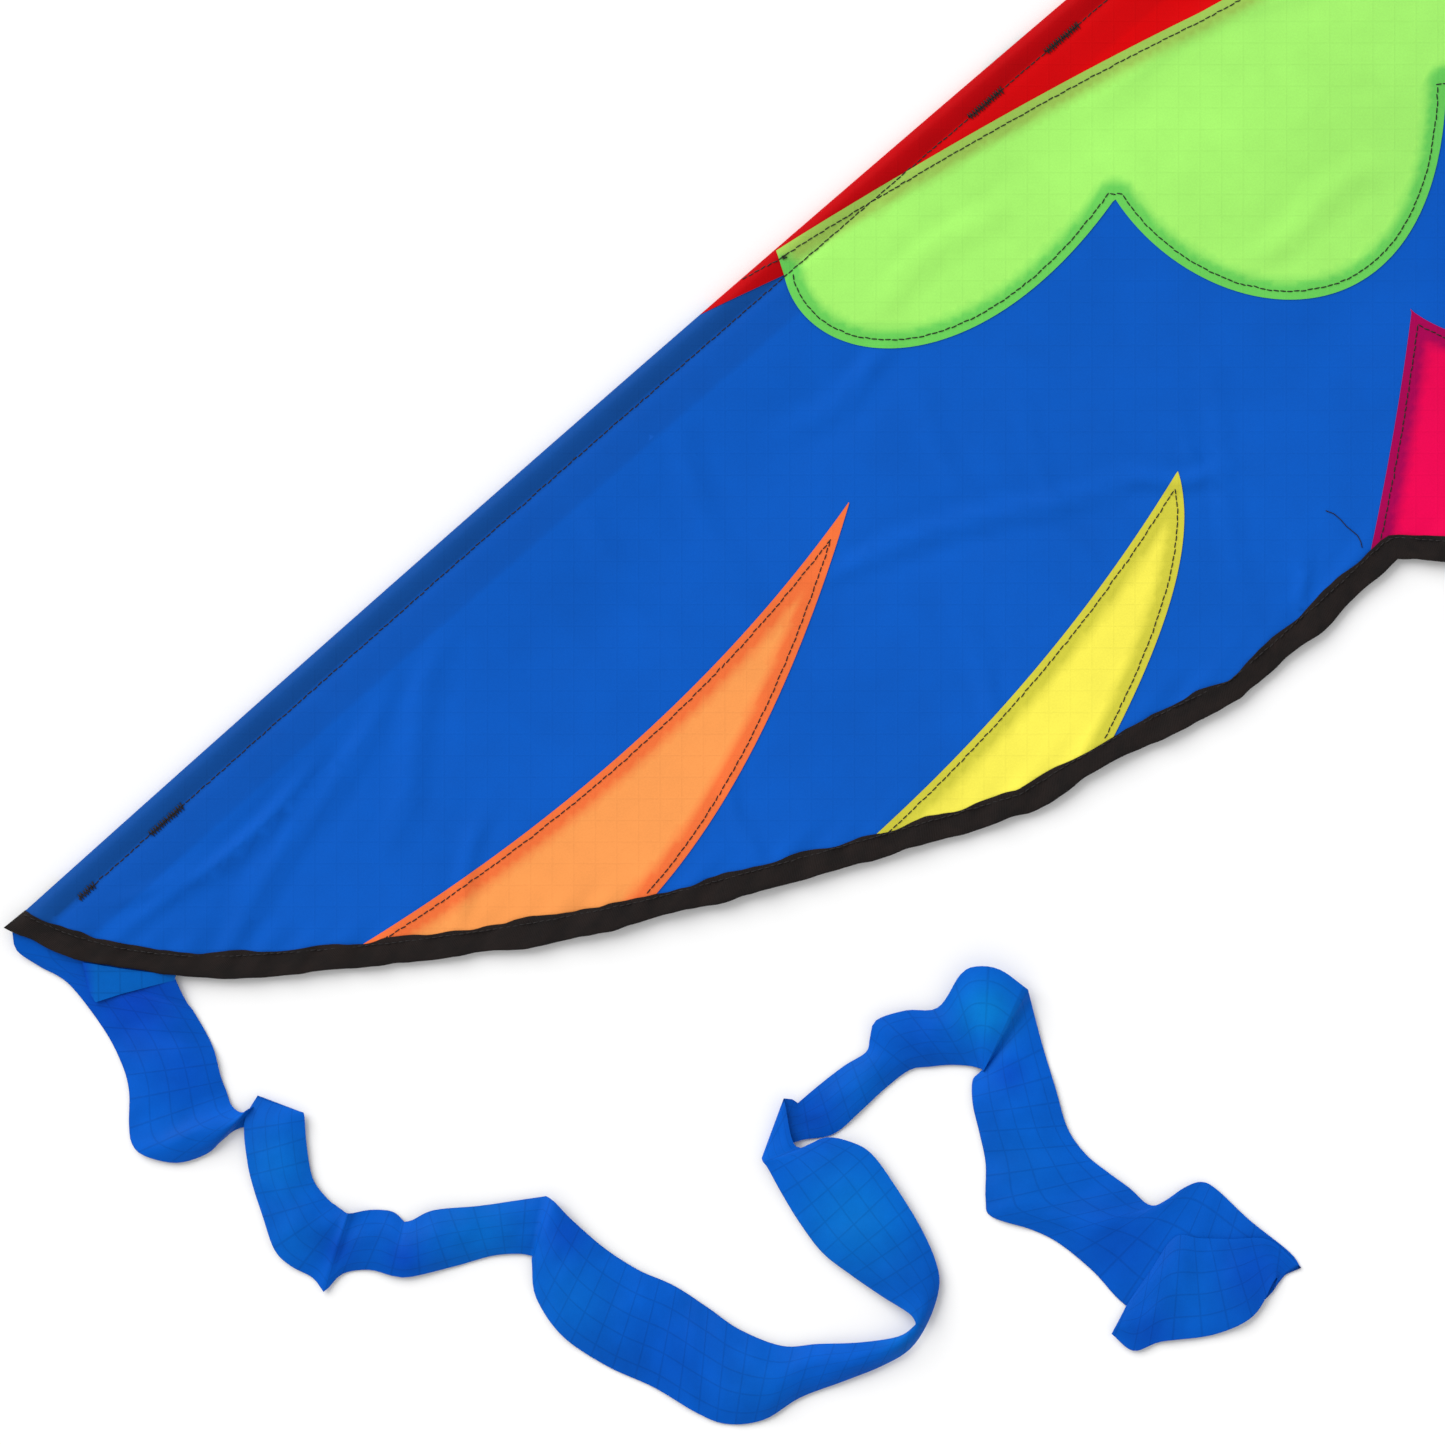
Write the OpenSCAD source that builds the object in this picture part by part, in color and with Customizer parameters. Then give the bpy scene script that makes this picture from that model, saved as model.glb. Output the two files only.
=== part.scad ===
// Delta kite, 1.6 m span, lying on its back with the printed belly side up.
// X runs across the wings, Y towards the nose, Z up. Origin: bottom centre of the whole box.

/* [Sail] */
// Wing span, tip to tip
wing_span = 1608; // [1280:1:2000]
// Flat length of the sail on the centre line, nose to tail
sail_length = 516; // [410:1:640]
// Lap where one coloured panel lies over the next
seam_lap = 10; // [6:0.5:14]
// Modelled thickness of one layer of ripstop
cloth = 0.5; // [0.4:0.05:0.8]
// Width of the folded tape on the trailing edge
tape_width = 12.5; // [9:0.5:16]

/* [Leading edges] */
// Width of the spar sleeve, fold to stitch line
sleeve_width = 13.5; // [12.5:0.5:17]
// Width of the cloth folded under at the leading edge
fold_under = 32; // [26:1:40]
// Radius of a leading edge spar
spar_radius = 2.5; // [2:0.1:2.7]
// Length of the opening where the spreader fitting reaches the spar
sleeve_opening = 28; // [22:1:36]
// Distance of the spreader fittings from the centre line
fitting_reach = 302; // [240:1:365]

/* [Spine and spreader] */
// Radius of the spine rod
spine_radius = 2; // [1.5:0.1:2.1]
// Radius of the spreader rod
spreader_radius = 2.2; // [1.8:0.1:2.3]
// Length of each hook along its spar
hook_length = 12; // [9:0.5:15]

/* [Keel] */
// Height of the keel from its seam to the tow corner
keel_depth = 165; // [130:1:200]
// Length of the keel's seam along the spine
keel_length = 350; // [280:1:390]
// Bore radius of the tow eyelet
eyelet_bore = 3; // [2:0.1:4]

/* [Streamers] */
// Width of a streamer, as a share of its drawn width
streamer_width = 1; // [0.8:0.05:1.1]

/* [Shown] */
// Sub-part to draw, or all of them

/* [Hidden] */

LEFT = -1;
RIGHT = 1;
$fn = 64;

// Drawn sizes that the outlines below are given in; sx and sy take them to the real ones.
drawn_half_span = 804;
drawn_length = 516;
drawn_nose = 466;
drawn_lowest = 475.8;
sx = wing_span / 2 / drawn_half_span;
sy = sail_length / drawn_length;
nose = drawn_nose * sy;
tail = nose - sail_length;

// The frame's origin is midway between the nose and the lowest point of the streamers.
shift_y = (drawn_lowest - drawn_nose) * sy / 2;

// Heights of the layers, from the floor up.
spar_z = 3.6;
spreader_z = 2.9;
under_z = 6.6 - cloth;
panel_z = 6.6;
over_z = panel_z + cloth;
tape_z = over_z + cloth;
cap_radius = spar_radius + 0.45;
wall = cloth;

// The ridge over the spine, and the gap at each wing's fold.
strip_half = 11.6;
ridge_foot = 9.5;
ridge_half = 2.6;
wing_start = 14;
spine_z = panel_z + 0.1 + spine_radius;
ridge_z = spine_z + spine_radius + 0.1;
edge_wall = 1.3;

// Colour of each cloth and fitting.
red = [0.82, 0.02, 0.03];
green = [0.62, 0.94, 0.40];
blue = [0.06, 0.36, 0.78];
orange = [1.00, 0.58, 0.26];
yellow = [0.97, 0.91, 0.28];
pink = [0.94, 0.02, 0.34];
black = [0.07, 0.07, 0.07];
rod = [0.12, 0.12, 0.13];
brass = [0.80, 0.66, 0.36];

// ---------- curves ----------

function unit(v) = v / norm(v);
function to_right(v) = [v.y, -v.x] / norm(v);
function last(p) = len(p) - 1;
function reverse(p) = [for (i = [last(p):-1:0]) p[i]];
function real(p) = [for (q = p) [q.x * sx, q.y * sy]];
function placed(p, side) = [for (q = p) [q.x * side, q.y]];

// A bow through three points, and one through four, without its last point.
function bow(a, b, c, n = 6) =
  [for (i = [0:n - 1]) let (t = i / n) a * (1 - t) * (1 - t) + b * 2 * t * (1 - t) + c * t * t];
function arch(a, b, c, d, n = 10) =
  [for (i = [0:n - 1]) let (t = i / n, s = 1 - t)
    a * s * s * s + b * 3 * s * s * t + c * 3 * s * t * t + d * t * t * t];

// A path moved sideways, to the right of its direction, with sharp corners kept sharp.
miter_limit = 0.42;
function moved(p, d) =
  [for (i = [0:last(p)])
    let (
      here = p[i],
      before = i == 0 ? p[1] - here : here - p[i - 1],
      after = i == last(p) ? before : p[i + 1] - here,
      n0 = i == 0 ? to_right(after) : to_right(before),
      m = unit(n0 + to_right(after))
    )
    here + m * d / max(m * n0, miter_limit)];

// Leading edge: almost straight, bowed out a little.
edge_slope = 0.8277;
edge_bow = 0.0000447;
function edge_y(u) = drawn_nose - edge_slope * u - edge_bow * u * u;
function edge(u0, u1, n = 12) = real([for (i = [0:n]) let (u = u0 + (u1 - u0) * i / n) [u, edge_y(u)]]);

// Trailing edge, from the centre line out to the tip.
function trailing() = real(concat(
  bow([0, -50], [60, -46], [106, -42], 3),
  bow([106, -42], [140, -74], [184, -112], 4),
  bow([184, -112], [245, -140], [291, -170], 4),
  bow([291, -170], [385, -198], [479, -223], 4),
  bow([479, -223], [570, -244], [680, -251], 5),
  bow([680, -251], [754, -255], [804, -225], 8),
  [[804, -225]]
));

// Both edges of the green band, from the centre line out.
function green_top() = real(concat(
  bow([0, 332], [110, 284], [205, 231], 4),
  bow([205, 231], [300, 185], [417, 112], 6),
  [[417, 112]]
));
function green_scallops() = real(concat(
  arch([0, 112], [45, 112], [74, 140], [82, 195], 6),
  arch([82, 195], [85, 52], [205, 72], [247.5, 138], 12),
  arch([247.5, 138], [318, 38], [404, 52], [413, 100], 12),
  [[413, 100]]
));

// Each feather's two edges: the outer one from its foot to the tip, the inner one from the tip to its foot.
function orange_outer() = real(concat(bow([655, -262], [478, -158], [380, -13], 10), [[380, -13]]));
function orange_inner() = real(concat(bow([380, -13], [429, -179], [512, -243], 9), [[512, -243]]));
function yellow_outer() = real(concat(bow([410, -217], [289, -119], [216, 2], 9), [[216, 2]]));
function yellow_inner() = real(concat(arch([216, 2], [206, -30], [218, -80], [266, -164], 9), [[266, -164]]));
function pink_edge() = real(concat(
  bow([127, -72], [108, 10], [99, 82], 5),
  bow([99, 82], [70, 60], [0, 62], 5),
  [[0, 62]]
));

// Raw edge of the red panel where it laps over the blue one at the leading edge.
red_corner = [455, edge_y(455)];
red_inner = [404, 104];

function band(p, d0, d1) = concat(moved(p, d0), reverse(moved(p, d1)));

// A path carried on straight past both its ends.
function carried_on(p, by) = concat(
  [p[0] - unit(p[1] - p[0]) * by],
  p,
  [p[last(p)] + unit(p[last(p)] - p[last(p) - 1]) * by]
);

// Corners well outside the sail, to close a region with.
far = wing_span;

module part_frame() {
  translate([0, shift_y, 0]) children();
}

module layer(z, height, side, p) {
  translate([0, 0, z]) linear_extrude(height) polygon(placed(p, side));
}

// Everything outboard of the fold line, or any range of distances from the centre line.
module between(u0, u1, side) {
  low = side > 0 ? u0 : -u1;
  translate([low, tail - 500]) square([u1 - u0, sail_length + 1000]);
}

// The sail inside both its edges.
module inside_edges(side, at_edge, at_trailing) {
  lower = moved(trailing(), -at_trailing);
  intersection() {
    polygon(placed(concat(moved(edge(-20, 840), at_edge), [[far, -far], [-20, -far]]), side));
    polygon(placed(concat([[-20, lower[0].y]], lower, [[far, lower[last(lower)].y], [far, far], [-20, far]]), side));
  }
}

module wing_shape(side) {
  intersection() {
    inside_edges(side, 0.02, edge_wall);
    between(wing_start, wing_span, side);
  }
}

// A feather between its two edges, drawn in by a distance.
module feather_shape(side, outer, inner, inset) {
  a = carried_on(moved(outer, -inset), 60);
  b = carried_on(moved(inner, -inset), 60);
  intersection() {
    polygon(placed(concat(a, [[0, far], [-far, 0], [0, -far], [a[0].x, -far]]), side));
    polygon(placed(concat(b, [[b[last(b)].x, -far], [far, -far], [far, far], [b[0].x, far]]), side));
  }
}

// ---------- sail panels ----------

module red_panel(side) {
  main = concat(
    edge(0, 455, 10),
    [real([red_inner])[0]],
    reverse(moved(green_top(), seam_lap))
  );
  color(red) {
    translate([0, 0, panel_z]) linear_extrude(cloth) intersection() {
      polygon(placed(main, side));
      wing_shape(side);
      between(wing_start, 402.5 * sx, side);
    }
    // Corner flap, one layer up, over the end of the blue panel.
    flap = real([[402.5, 110], [404, 103.6], red_corner, [418, edge_y(418)], [396, edge_y(396)], [396, 120]]);
    translate([0, 0, over_z]) linear_extrude(cloth) intersection() {
      polygon(placed(flap, side));
      wing_shape(side);
    }
    // Its root, which joins the flap to the panel's own layer.
    root = real([[398, 118], [398, edge_y(398)], [418, edge_y(418)], [409, 113]]);
    translate([0, 0, panel_z]) linear_extrude(cloth) intersection() {
      polygon(placed(root, side));
      wing_shape(side);
    }
  }
}

module green_band(side) {
  outline = concat(green_top(), reverse(green_scallops()));
  color(green) translate([0, 0, over_z]) linear_extrude(cloth) intersection() {
    polygon(placed(outline, side));
    between(wing_start, 395 * sx, side);
  }
}

module blue_panel(side) {
  top = moved(green_scallops(), -seam_lap);
  above = concat(
    [[-20, top[0].y]],
    [for (q = top) if (q.x < 396 * sx) q],
    real([[410, 108], [444, edge_y(444)], [470, edge_y(444) + 40]]),
    [[far, far], [-20, far]]
  );
  color(blue) translate([0, 0, panel_z]) linear_extrude(cloth) difference() {
    wing_shape(side);
    polygon(placed(above, side));
    feather_shape(side, orange_outer(), orange_inner(), seam_lap);
    feather_shape(side, yellow_outer(), yellow_inner(), seam_lap);
    polygon(placed(concat(moved(pink_edge(), -seam_lap), real([[0, -90], [120, -90]])), side));
  }
}

// A panel laid over the blue one.
module on_top(side, tint) {
  color(tint) translate([0, 0, over_z]) linear_extrude(cloth) intersection() {
    children();
    wing_shape(side);
  }
}

module orange_feather(side) {
  on_top(side, orange) feather_shape(side, orange_outer(), orange_inner(), 0);
}

module yellow_feather(side) {
  on_top(side, yellow) feather_shape(side, yellow_outer(), yellow_inner(), 0);
}

module pink_tail(side) {
  on_top(side, pink) polygon(placed(concat(pink_edge(), real([[0, -80], [120, -80]])), side));
}

// ---------- trailing edge tape ----------

// Folded over the edge: one layer below, one above, and the fold between them.
module edge_tape(side, u0, u1) {
  color(black) {
    for (z = [under_z, tape_z]) {
      translate([0, 0, z]) linear_extrude(cloth) intersection() {
        polygon(placed(band(trailing(), 0, -tape_width), side));
        inside_edges(side, 0.02, 0);
        between(u0, u1, side);
      }
    }
    translate([0, 0, under_z]) linear_extrude(tape_z + cloth - under_z) intersection() {
      polygon(placed(band(trailing(), 0, -edge_wall + 0.05), side));
      inside_edges(side, 0.02, 0);
      between(u0, u1, side);
    }
  }
}

tape_join = 107;

// ---------- leading edge sleeve and spar ----------

sleeve_end = 775;
colour_join = 449;
tip_opening_from = 741;
tip_opening_to = 766;
spar_from = 112;
spar_to = 762;
spar_inset = 5;
cap_length = 9;
plug_depth = 5;

function edge_point(u) = real([[u, edge_y(u)]])[0];
function edge_run(u) = unit(edge_point(u + 1) - edge_point(u - 1));
function inside_edge(u, d) = edge_point(u) + to_right(edge_run(u)) * d;
spar_a = inside_edge(spar_from, spar_inset);
spar_b = inside_edge(spar_to, spar_inset);
spar_run = unit(spar_b - spar_a);
function spar_at(u) = spar_a + spar_run * ((u - spar_a.x) / spar_run.x);
fitting = spar_at(fitting_reach * sx);

// A flat block laid along a direction, for windows and tacks.
module along(p, run, side, size, z, height) {
  angle = atan2(run.y, run.x * side);
  translate([p.x * side, p.y, z]) rotate([0, 0, angle])
    translate([-size.x / 2, -size.y / 2, 0]) cube([size.x, size.y, height]);
}

module sleeve(side, u0, u1, tint) {
  path = edge(u0, u1, 8);
  window = inside_edge(fitting_reach, 7.4 + (sleeve_width - 13.5) / 2);
  color(tint) difference() {
    union() {
      // back layer round the spar
      layer(0, cloth, side, band(path, 0.02, sleeve_width));
      // fold at the leading edge
      layer(0, panel_z, side, band(path, 0.02, 0.02 + wall));
      // rise to the stitch line
      layer(0, under_z, side, band(path, sleeve_width - wall, sleeve_width));
      // cloth folded under, flat against the sail
      translate([0, 0, under_z]) linear_extrude(cloth) intersection() {
        polygon(placed(band(path, sleeve_width - wall, fold_under), side));
        inside_edges(side, 0.02, tape_width + 0.4);
      }
    }
    along(window, edge_run(fitting_reach), side, [sleeve_opening, sleeve_width - 0.4], -1, under_z + 1);
    tip_mid = (tip_opening_from + tip_opening_to) / 2;
    along(inside_edge(tip_mid, sleeve_width - 1.5), edge_run(tip_mid), side,
      [norm(edge_point(tip_opening_to) - edge_point(tip_opening_from)), 4], -1, under_z + 1);
    translate([-wing_start, tail - 10, -1]) cube([2 * wing_start, sail_length + 40, 20]);
  }
}

module rod_between(p, q, side, r, z) {
  run = q - p;
  translate([p.x * side, p.y, z])
    rotate([0, 90, atan2(run.y, run.x * side)])
      cylinder(h = norm(run), r = r);
}

module spar(side) {
  color(rod) rod_between(spar_a, spar_b, side, spar_radius, spar_z);
}

// A vinyl cap pushed on the end of a spar.
module spar_cap(side, at, run) {
  color(black) difference() {
    rod_between(at - run * plug_depth, at + run * (cap_length - plug_depth), side, cap_radius, spar_z);
    rod_between(at - run * (plug_depth + 1), at, side, spar_radius, spar_z);
  }
}

// ---------- bar tacks ----------

tack_width = 3.4;
tack_height = 0.3;

module tack(u, length, side) {
  along(inside_edge(u, sleeve_width), edge_run(u), side, [length, tack_width], over_z, tack_height);
}

module bar_tacks(side) {
  half_gap = sleeve_opening / 2 * 0.76 / sx;
  color(black) {
    tack(fitting_reach - half_gap - 8.5, 22, side);
    tack(fitting_reach + half_gap + 8.5, 22, side);
    tack(731, 22, side);
    tack(771, 11, side);
  }
}

// ---------- spreader ----------

hook_clearance = 0.1;
hook_wall = 1;
socket_length = 30;
rod_stop = 9;

module spreader_rod() {
  reach = fitting.x - rod_stop;
  color(rod) translate([-reach, fitting.y, spreader_z]) rotate([0, 90, 0]) cylinder(h = 2 * reach, r = spreader_radius);
}

// The hook's section across the spar: a cradle open at the top.
module cradle() {
  inner = spar_radius + hook_clearance;
  outer = inner + hook_wall;
  lip = 1.6;
  difference() {
    union() {
      circle(r = outer);
      translate([-outer, 0]) square([2 * outer, lip]);
    }
    circle(r = inner);
    translate([-inner, 0]) square([2 * inner, outer + 1]);
    translate([-outer - 1, lip]) square([2 * outer + 2, outer]);
  }
}

module hook(side) {
  angle = atan2(spar_run.y, spar_run.x * side);
  inner = spar_radius + hook_clearance;
  socket_radius = spreader_radius + 0.7;
  color(black) difference() {
    union() {
      translate([fitting.x * side, fitting.y, spar_z]) rotate([0, 0, angle]) rotate([90, 0, 90])
        translate([0, 0, -hook_length / 2]) linear_extrude(hook_length) cradle();
      translate([(fitting.x - socket_length - 3) * side, fitting.y, spreader_z])
        rotate([0, 90 * side, 0]) cylinder(h = socket_length, r = socket_radius);
    }
    translate([(fitting.x - socket_length - 4) * side, fitting.y, spreader_z])
      rotate([0, 90 * side, 0]) cylinder(h = socket_length + 4 - rod_stop, r = spreader_radius);
    // room for the spar to lift out
    translate([fitting.x * side, fitting.y, spar_z]) rotate([0, 0, angle]) rotate([90, 0, 90])
      translate([0, 0, -20]) linear_extrude(40) union() {
        circle(r = inner);
        translate([-inner, 0]) square([2 * inner, 8]);
      }
  }
}

// ---------- spine ----------

plug_length = 7;
rod_front = nose - 14;
rod_back = tail + 14;

module along_y(y0, y1) {
  translate([0, y1, 0]) rotate([90, 0, 0]) linear_extrude(y1 - y0) children();
}

// The centre strip's section: flat at both sides, arched over the spine rod.
function ridge_line(up) = [
  [-strip_half, panel_z + up], [-ridge_foot, panel_z + up], [-ridge_half, ridge_z + up],
  [ridge_half, ridge_z + up], [ridge_foot, panel_z + up], [strip_half, panel_z + up]
];
module ridge(low, high) {
  polygon(concat(ridge_line(low), reverse(ridge_line(high))));
}

module centre_strip(y0, y1, tint) {
  color(tint) along_y(y0, y1) ridge(0, cloth);
}

// Tape folded over one end of the centre strip and its pocket.
module end_tape(y0, y1, wall_y) {
  color(black) {
    along_y(y0, y1) ridge(cloth, 2 * cloth);
    along_y(y0, y1) translate([-strip_half, under_z - cloth]) square([2 * strip_half, cloth]);
    along_y(wall_y, wall_y + edge_wall - 0.05)
      polygon(concat(
        [[-strip_half, under_z - cloth]],
        ridge_line(2 * cloth),
        [[strip_half, under_z - cloth]]
      ));
  }
}

module spine_pocket() {
  color(blue) translate([-strip_half, tail + edge_wall, under_z])
    cube([2 * strip_half, sail_length - 2 * edge_wall, cloth]);
}

module spine_rod() {
  color(rod) translate([0, rod_front - plug_length, spine_z]) rotate([90, 0, 0])
    cylinder(h = rod_front - rod_back - 2 * plug_length, r = spine_radius);
}

module spine_plug(y0) {
  color(black) translate([0, y0 + plug_length, spine_z]) rotate([90, 0, 0]) cylinder(h = plug_length, r = spine_radius);
}

green_front = 332 * sy;
green_back = 112 * sy;
pink_front = 62 * sy;

// ---------- keel ----------

keel_front = 330 * sy;
keel_back = keel_front - keel_length * sy;
seam_height = 0.8;
keel_hinge_z = ridge_z + cloth + seam_height + 0.3;
keel_base = keel_hinge_z + 0.2;
tow_y = keel_front - 0.5 * keel_length * sy;
keel_tip = keel_base + keel_depth;
eyelet_wall = 0.6;
flange = 3.2;
eyelet_half = 1.5;
eyelet_down = 26;
tape_clear = 1;
eyelet_room = 0.1;

// The keel's free edge, from the front of the seam round the tow corner to the back.
heel = 7;
function keel_rim() = concat(
  bow([keel_front, keel_base + heel], [tow_y + 60 * sy, keel_base + keel_depth * 0.62], [tow_y, keel_tip], 6),
  bow([tow_y, keel_tip], [tow_y - 50 * sy, keel_base + keel_depth * 0.50], [keel_back, keel_base + heel], 6),
  [[keel_back, keel_base + heel]]
);

// A shape drawn in Y and Z, stood up on the centre plane.
module upright(half) {
  rotate([90, 0, 90]) translate([0, 0, -half]) linear_extrude(2 * half) children();
}

module keel_panel() {
  color(blue) upright(cloth / 2) difference() {
    polygon(concat([[keel_front - 2, keel_base]], moved(keel_rim(), -edge_wall), [[keel_back + 2, keel_base]]));
    translate([tow_y, keel_tip - eyelet_down]) circle(r = eyelet_bore + eyelet_wall);
  }
}

// The strip of the keel within a distance of its free edge, clear of the seam and of the eyelet.
module rim_strip(width) {
  difference() {
    polygon(concat(keel_rim(), reverse(moved(keel_rim(), -width))));
    translate([-far, keel_base + tape_clear - far]) square([2 * far, far]);
    translate([tow_y, keel_tip - eyelet_down]) circle(r = eyelet_bore + flange + eyelet_room);
  }
}

// Tape folded over the keel's free edge.
module keel_tape() {
  color(black) rotate([90, 0, 90]) {
    translate([0, 0, -cloth * 1.5]) linear_extrude(cloth) rim_strip(tape_width * 0.8);
    translate([0, 0, -cloth / 2]) linear_extrude(cloth) rim_strip(edge_wall - 0.05);
    translate([0, 0, cloth / 2]) linear_extrude(cloth) rim_strip(tape_width * 0.8);
  }
}

module tow_eyelet() {
  color(brass) translate([0, tow_y, keel_tip - eyelet_down]) rotate([0, 90, 0]) difference() {
    union() {
      translate([0, 0, -eyelet_half]) cylinder(h = 2 * eyelet_half, r = eyelet_bore + eyelet_wall);
      for (z = [-eyelet_half, cloth / 2]) {
        translate([0, 0, z]) cylinder(h = eyelet_half - cloth / 2, r = eyelet_bore + flange);
      }
    }
    translate([0, 0, -eyelet_half - 1]) cylinder(h = 2 * eyelet_half + 2, r = eyelet_bore);
  }
}

// ---------- streamers ----------

// One leg of the ribbon as it lies, seen from above.
module leg(side, p) {
  mid = [for (k = [0:1]) (min([for (q = p) q[k]]) + max([for (q = p) q[k]])) / 2];
  shape = [for (q = p) mid + (q - mid) * streamer_width];
  polygon(placed(real(shape), side));
}

head_gap = 1.6;
head_from = 712;
head_to = 797;

module head_strip(side, width) {
  intersection() {
    polygon(placed(band(trailing(), head_gap, head_gap + width), side));
    between(head_from * sx, head_to * sx, side);
  }
}

module streamer(side) {
  color(blue) {
    // The sewn end drops from the trailing edge to the floor.
    linear_extrude(panel_z) head_strip(side, 2 * cloth);
    linear_extrude(2 * cloth) {
      head_strip(side, 26);
      leg(side, [[780, -246], [769, -258], [752, -280], [741, -306], [740, -334], [726, -343], [706, -343],
        [684, -330], [674, -316], [684, -310], [693, -300], [703, -276], [714, -258], [745, -260]]);
      leg(side, [[686, -334], [680, -310], [656, -316], [650, -352], [632, -366], [642, -408], [669, -386], [676, -356]]);
      leg(side, [[650, -400], [636, -366], [601, -375], [598, -402], [626, -403], [643, -410]]);
      leg(side, [[609, -388], [603, -372], [588, -368], [533, -361], [525, -367], [536, -393], [564, -395], [606, -403]]);
      leg(side, [[542, -376], [530, -362], [495, -393], [458, -413], [428, -434], [406, -437], [376, -436], [347, -426],
        [335, -404], [332, -412], [344, -436], [375, -452], [414, -468], [441, -475.8], [475, -461], [520, -437],
        [541, -404]]);
      leg(side, [[426, -341], [408, -333], [385, -329], [371, -333], [346, -374], [333, -403], [340, -428], [377, -408],
        [400, -388]]);
      leg(side, [[422, -348], [416, -327], [406, -315], [373, -286], [347, -294], [361, -309], [381, -332], [388, -350]]);
      leg(side, [[374, -292], [369, -276], [363, -269], [335, -266], [308, -274], [315, -300], [347, -300]]);
      leg(side, [[338, -270], [325, -250], [317, -246], [305, -248], [293, -257], [289, -268], [315, -302], [328, -287]]);
      leg(side, [[294, -258], [284, -284], [275, -312], [270, -331], [253, -348], [231, -365], [220, -362], [205, -352],
        [211, -382], [241, -417], [260, -397], [289, -378], [311, -371], [313, -343], [319, -315], [312, -292]]);
      leg(side, [[209, -356], [200, -354], [182, -372], [153, -394], [153, -405], [168, -403], [176, -422], [191, -431],
        [217, -434], [239, -439], [250, -428], [245, -413], [224, -378]]);
    }
  }
}

// ---------- what is drawn ----------

part_frame() spine_rod();
part_frame() spine_plug(rod_front - plug_length);  // spine_plug_nose
part_frame() spine_plug(rod_back);  // spine_plug_tail
part_frame() spine_pocket();
part_frame() centre_strip(green_front, nose - edge_wall, red);  // centre_red
part_frame() centre_strip(green_back, green_front, green);  // centre_green
part_frame() centre_strip(pink_front, green_back, blue);  // centre_blue
part_frame() centre_strip(tail + edge_wall, pink_front, pink);  // centre_pink
part_frame() end_tape(tail, tail + tape_width, tail);  // centre_tape
part_frame() end_tape(nose - 28, nose, nose - edge_wall + 0.05);  // nose_tape
part_frame() translate([-0.4, keel_back, ridge_z + cloth])  // keel_seam
  cube([0.8, keel_front - keel_back, seam_height]);
part_frame() keel_panel();
part_frame() keel_tape();
part_frame() tow_eyelet();
part_frame() spreader_rod();
part_frame() hook(LEFT);  // hook_left
part_frame() hook(RIGHT);  // hook_right
part_frame() red_panel(LEFT);  // red_panel_left
part_frame() green_band(LEFT);  // green_band_left
part_frame() blue_panel(LEFT);  // blue_panel_left
part_frame() orange_feather(LEFT);  // orange_feather_left
part_frame() yellow_feather(LEFT);  // yellow_feather_left
part_frame() pink_tail(LEFT);  // pink_tail_left
part_frame() sleeve(LEFT, 8, colour_join, red);  // sleeve_red_left
part_frame() sleeve(LEFT, colour_join, sleeve_end, blue);  // sleeve_blue_left
part_frame() spar(LEFT);  // spar_left
part_frame() spar_cap(LEFT, spar_a, -spar_run);  // spar_cap_inner_left
part_frame() spar_cap(LEFT, spar_b, spar_run);  // spar_cap_tip_left
part_frame() edge_tape(LEFT, tape_join * sx, wing_span);  // tape_wing_left
part_frame() edge_tape(LEFT, wing_start, tape_join * sx);  // tape_tail_left
part_frame() bar_tacks(LEFT);  // bar_tacks_left
part_frame() streamer(LEFT);  // streamer_left
part_frame() red_panel(RIGHT);  // red_panel_right
part_frame() green_band(RIGHT);  // green_band_right
part_frame() blue_panel(RIGHT);  // blue_panel_right
part_frame() orange_feather(RIGHT);  // orange_feather_right
part_frame() yellow_feather(RIGHT);  // yellow_feather_right
part_frame() pink_tail(RIGHT);  // pink_tail_right
part_frame() sleeve(RIGHT, 8, colour_join, red);  // sleeve_red_right
part_frame() sleeve(RIGHT, colour_join, sleeve_end, blue);  // sleeve_blue_right
part_frame() spar(RIGHT);  // spar_right
part_frame() spar_cap(RIGHT, spar_a, -spar_run);  // spar_cap_inner_right
part_frame() spar_cap(RIGHT, spar_b, spar_run);  // spar_cap_tip_right
part_frame() edge_tape(RIGHT, tape_join * sx, wing_span);  // tape_wing_right
part_frame() edge_tape(RIGHT, wing_start, tape_join * sx);  // tape_tail_right
part_frame() bar_tacks(RIGHT);  // bar_tacks_right
part_frame() streamer(RIGHT);  // streamer_right
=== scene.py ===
"""Looks of the delta kite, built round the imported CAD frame.

Outlines are in drawn millimetres: u is the distance outboard of the centre line, y runs towards the nose.
A piece of the left wing has X = -u, of the right wing X = +u.
"""
import math

import bpy
import numpy as np
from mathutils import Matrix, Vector, noise
from mathutils.geometry import delaunay_2d_cdt
from mathutils.kdtree import KDTree


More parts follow.
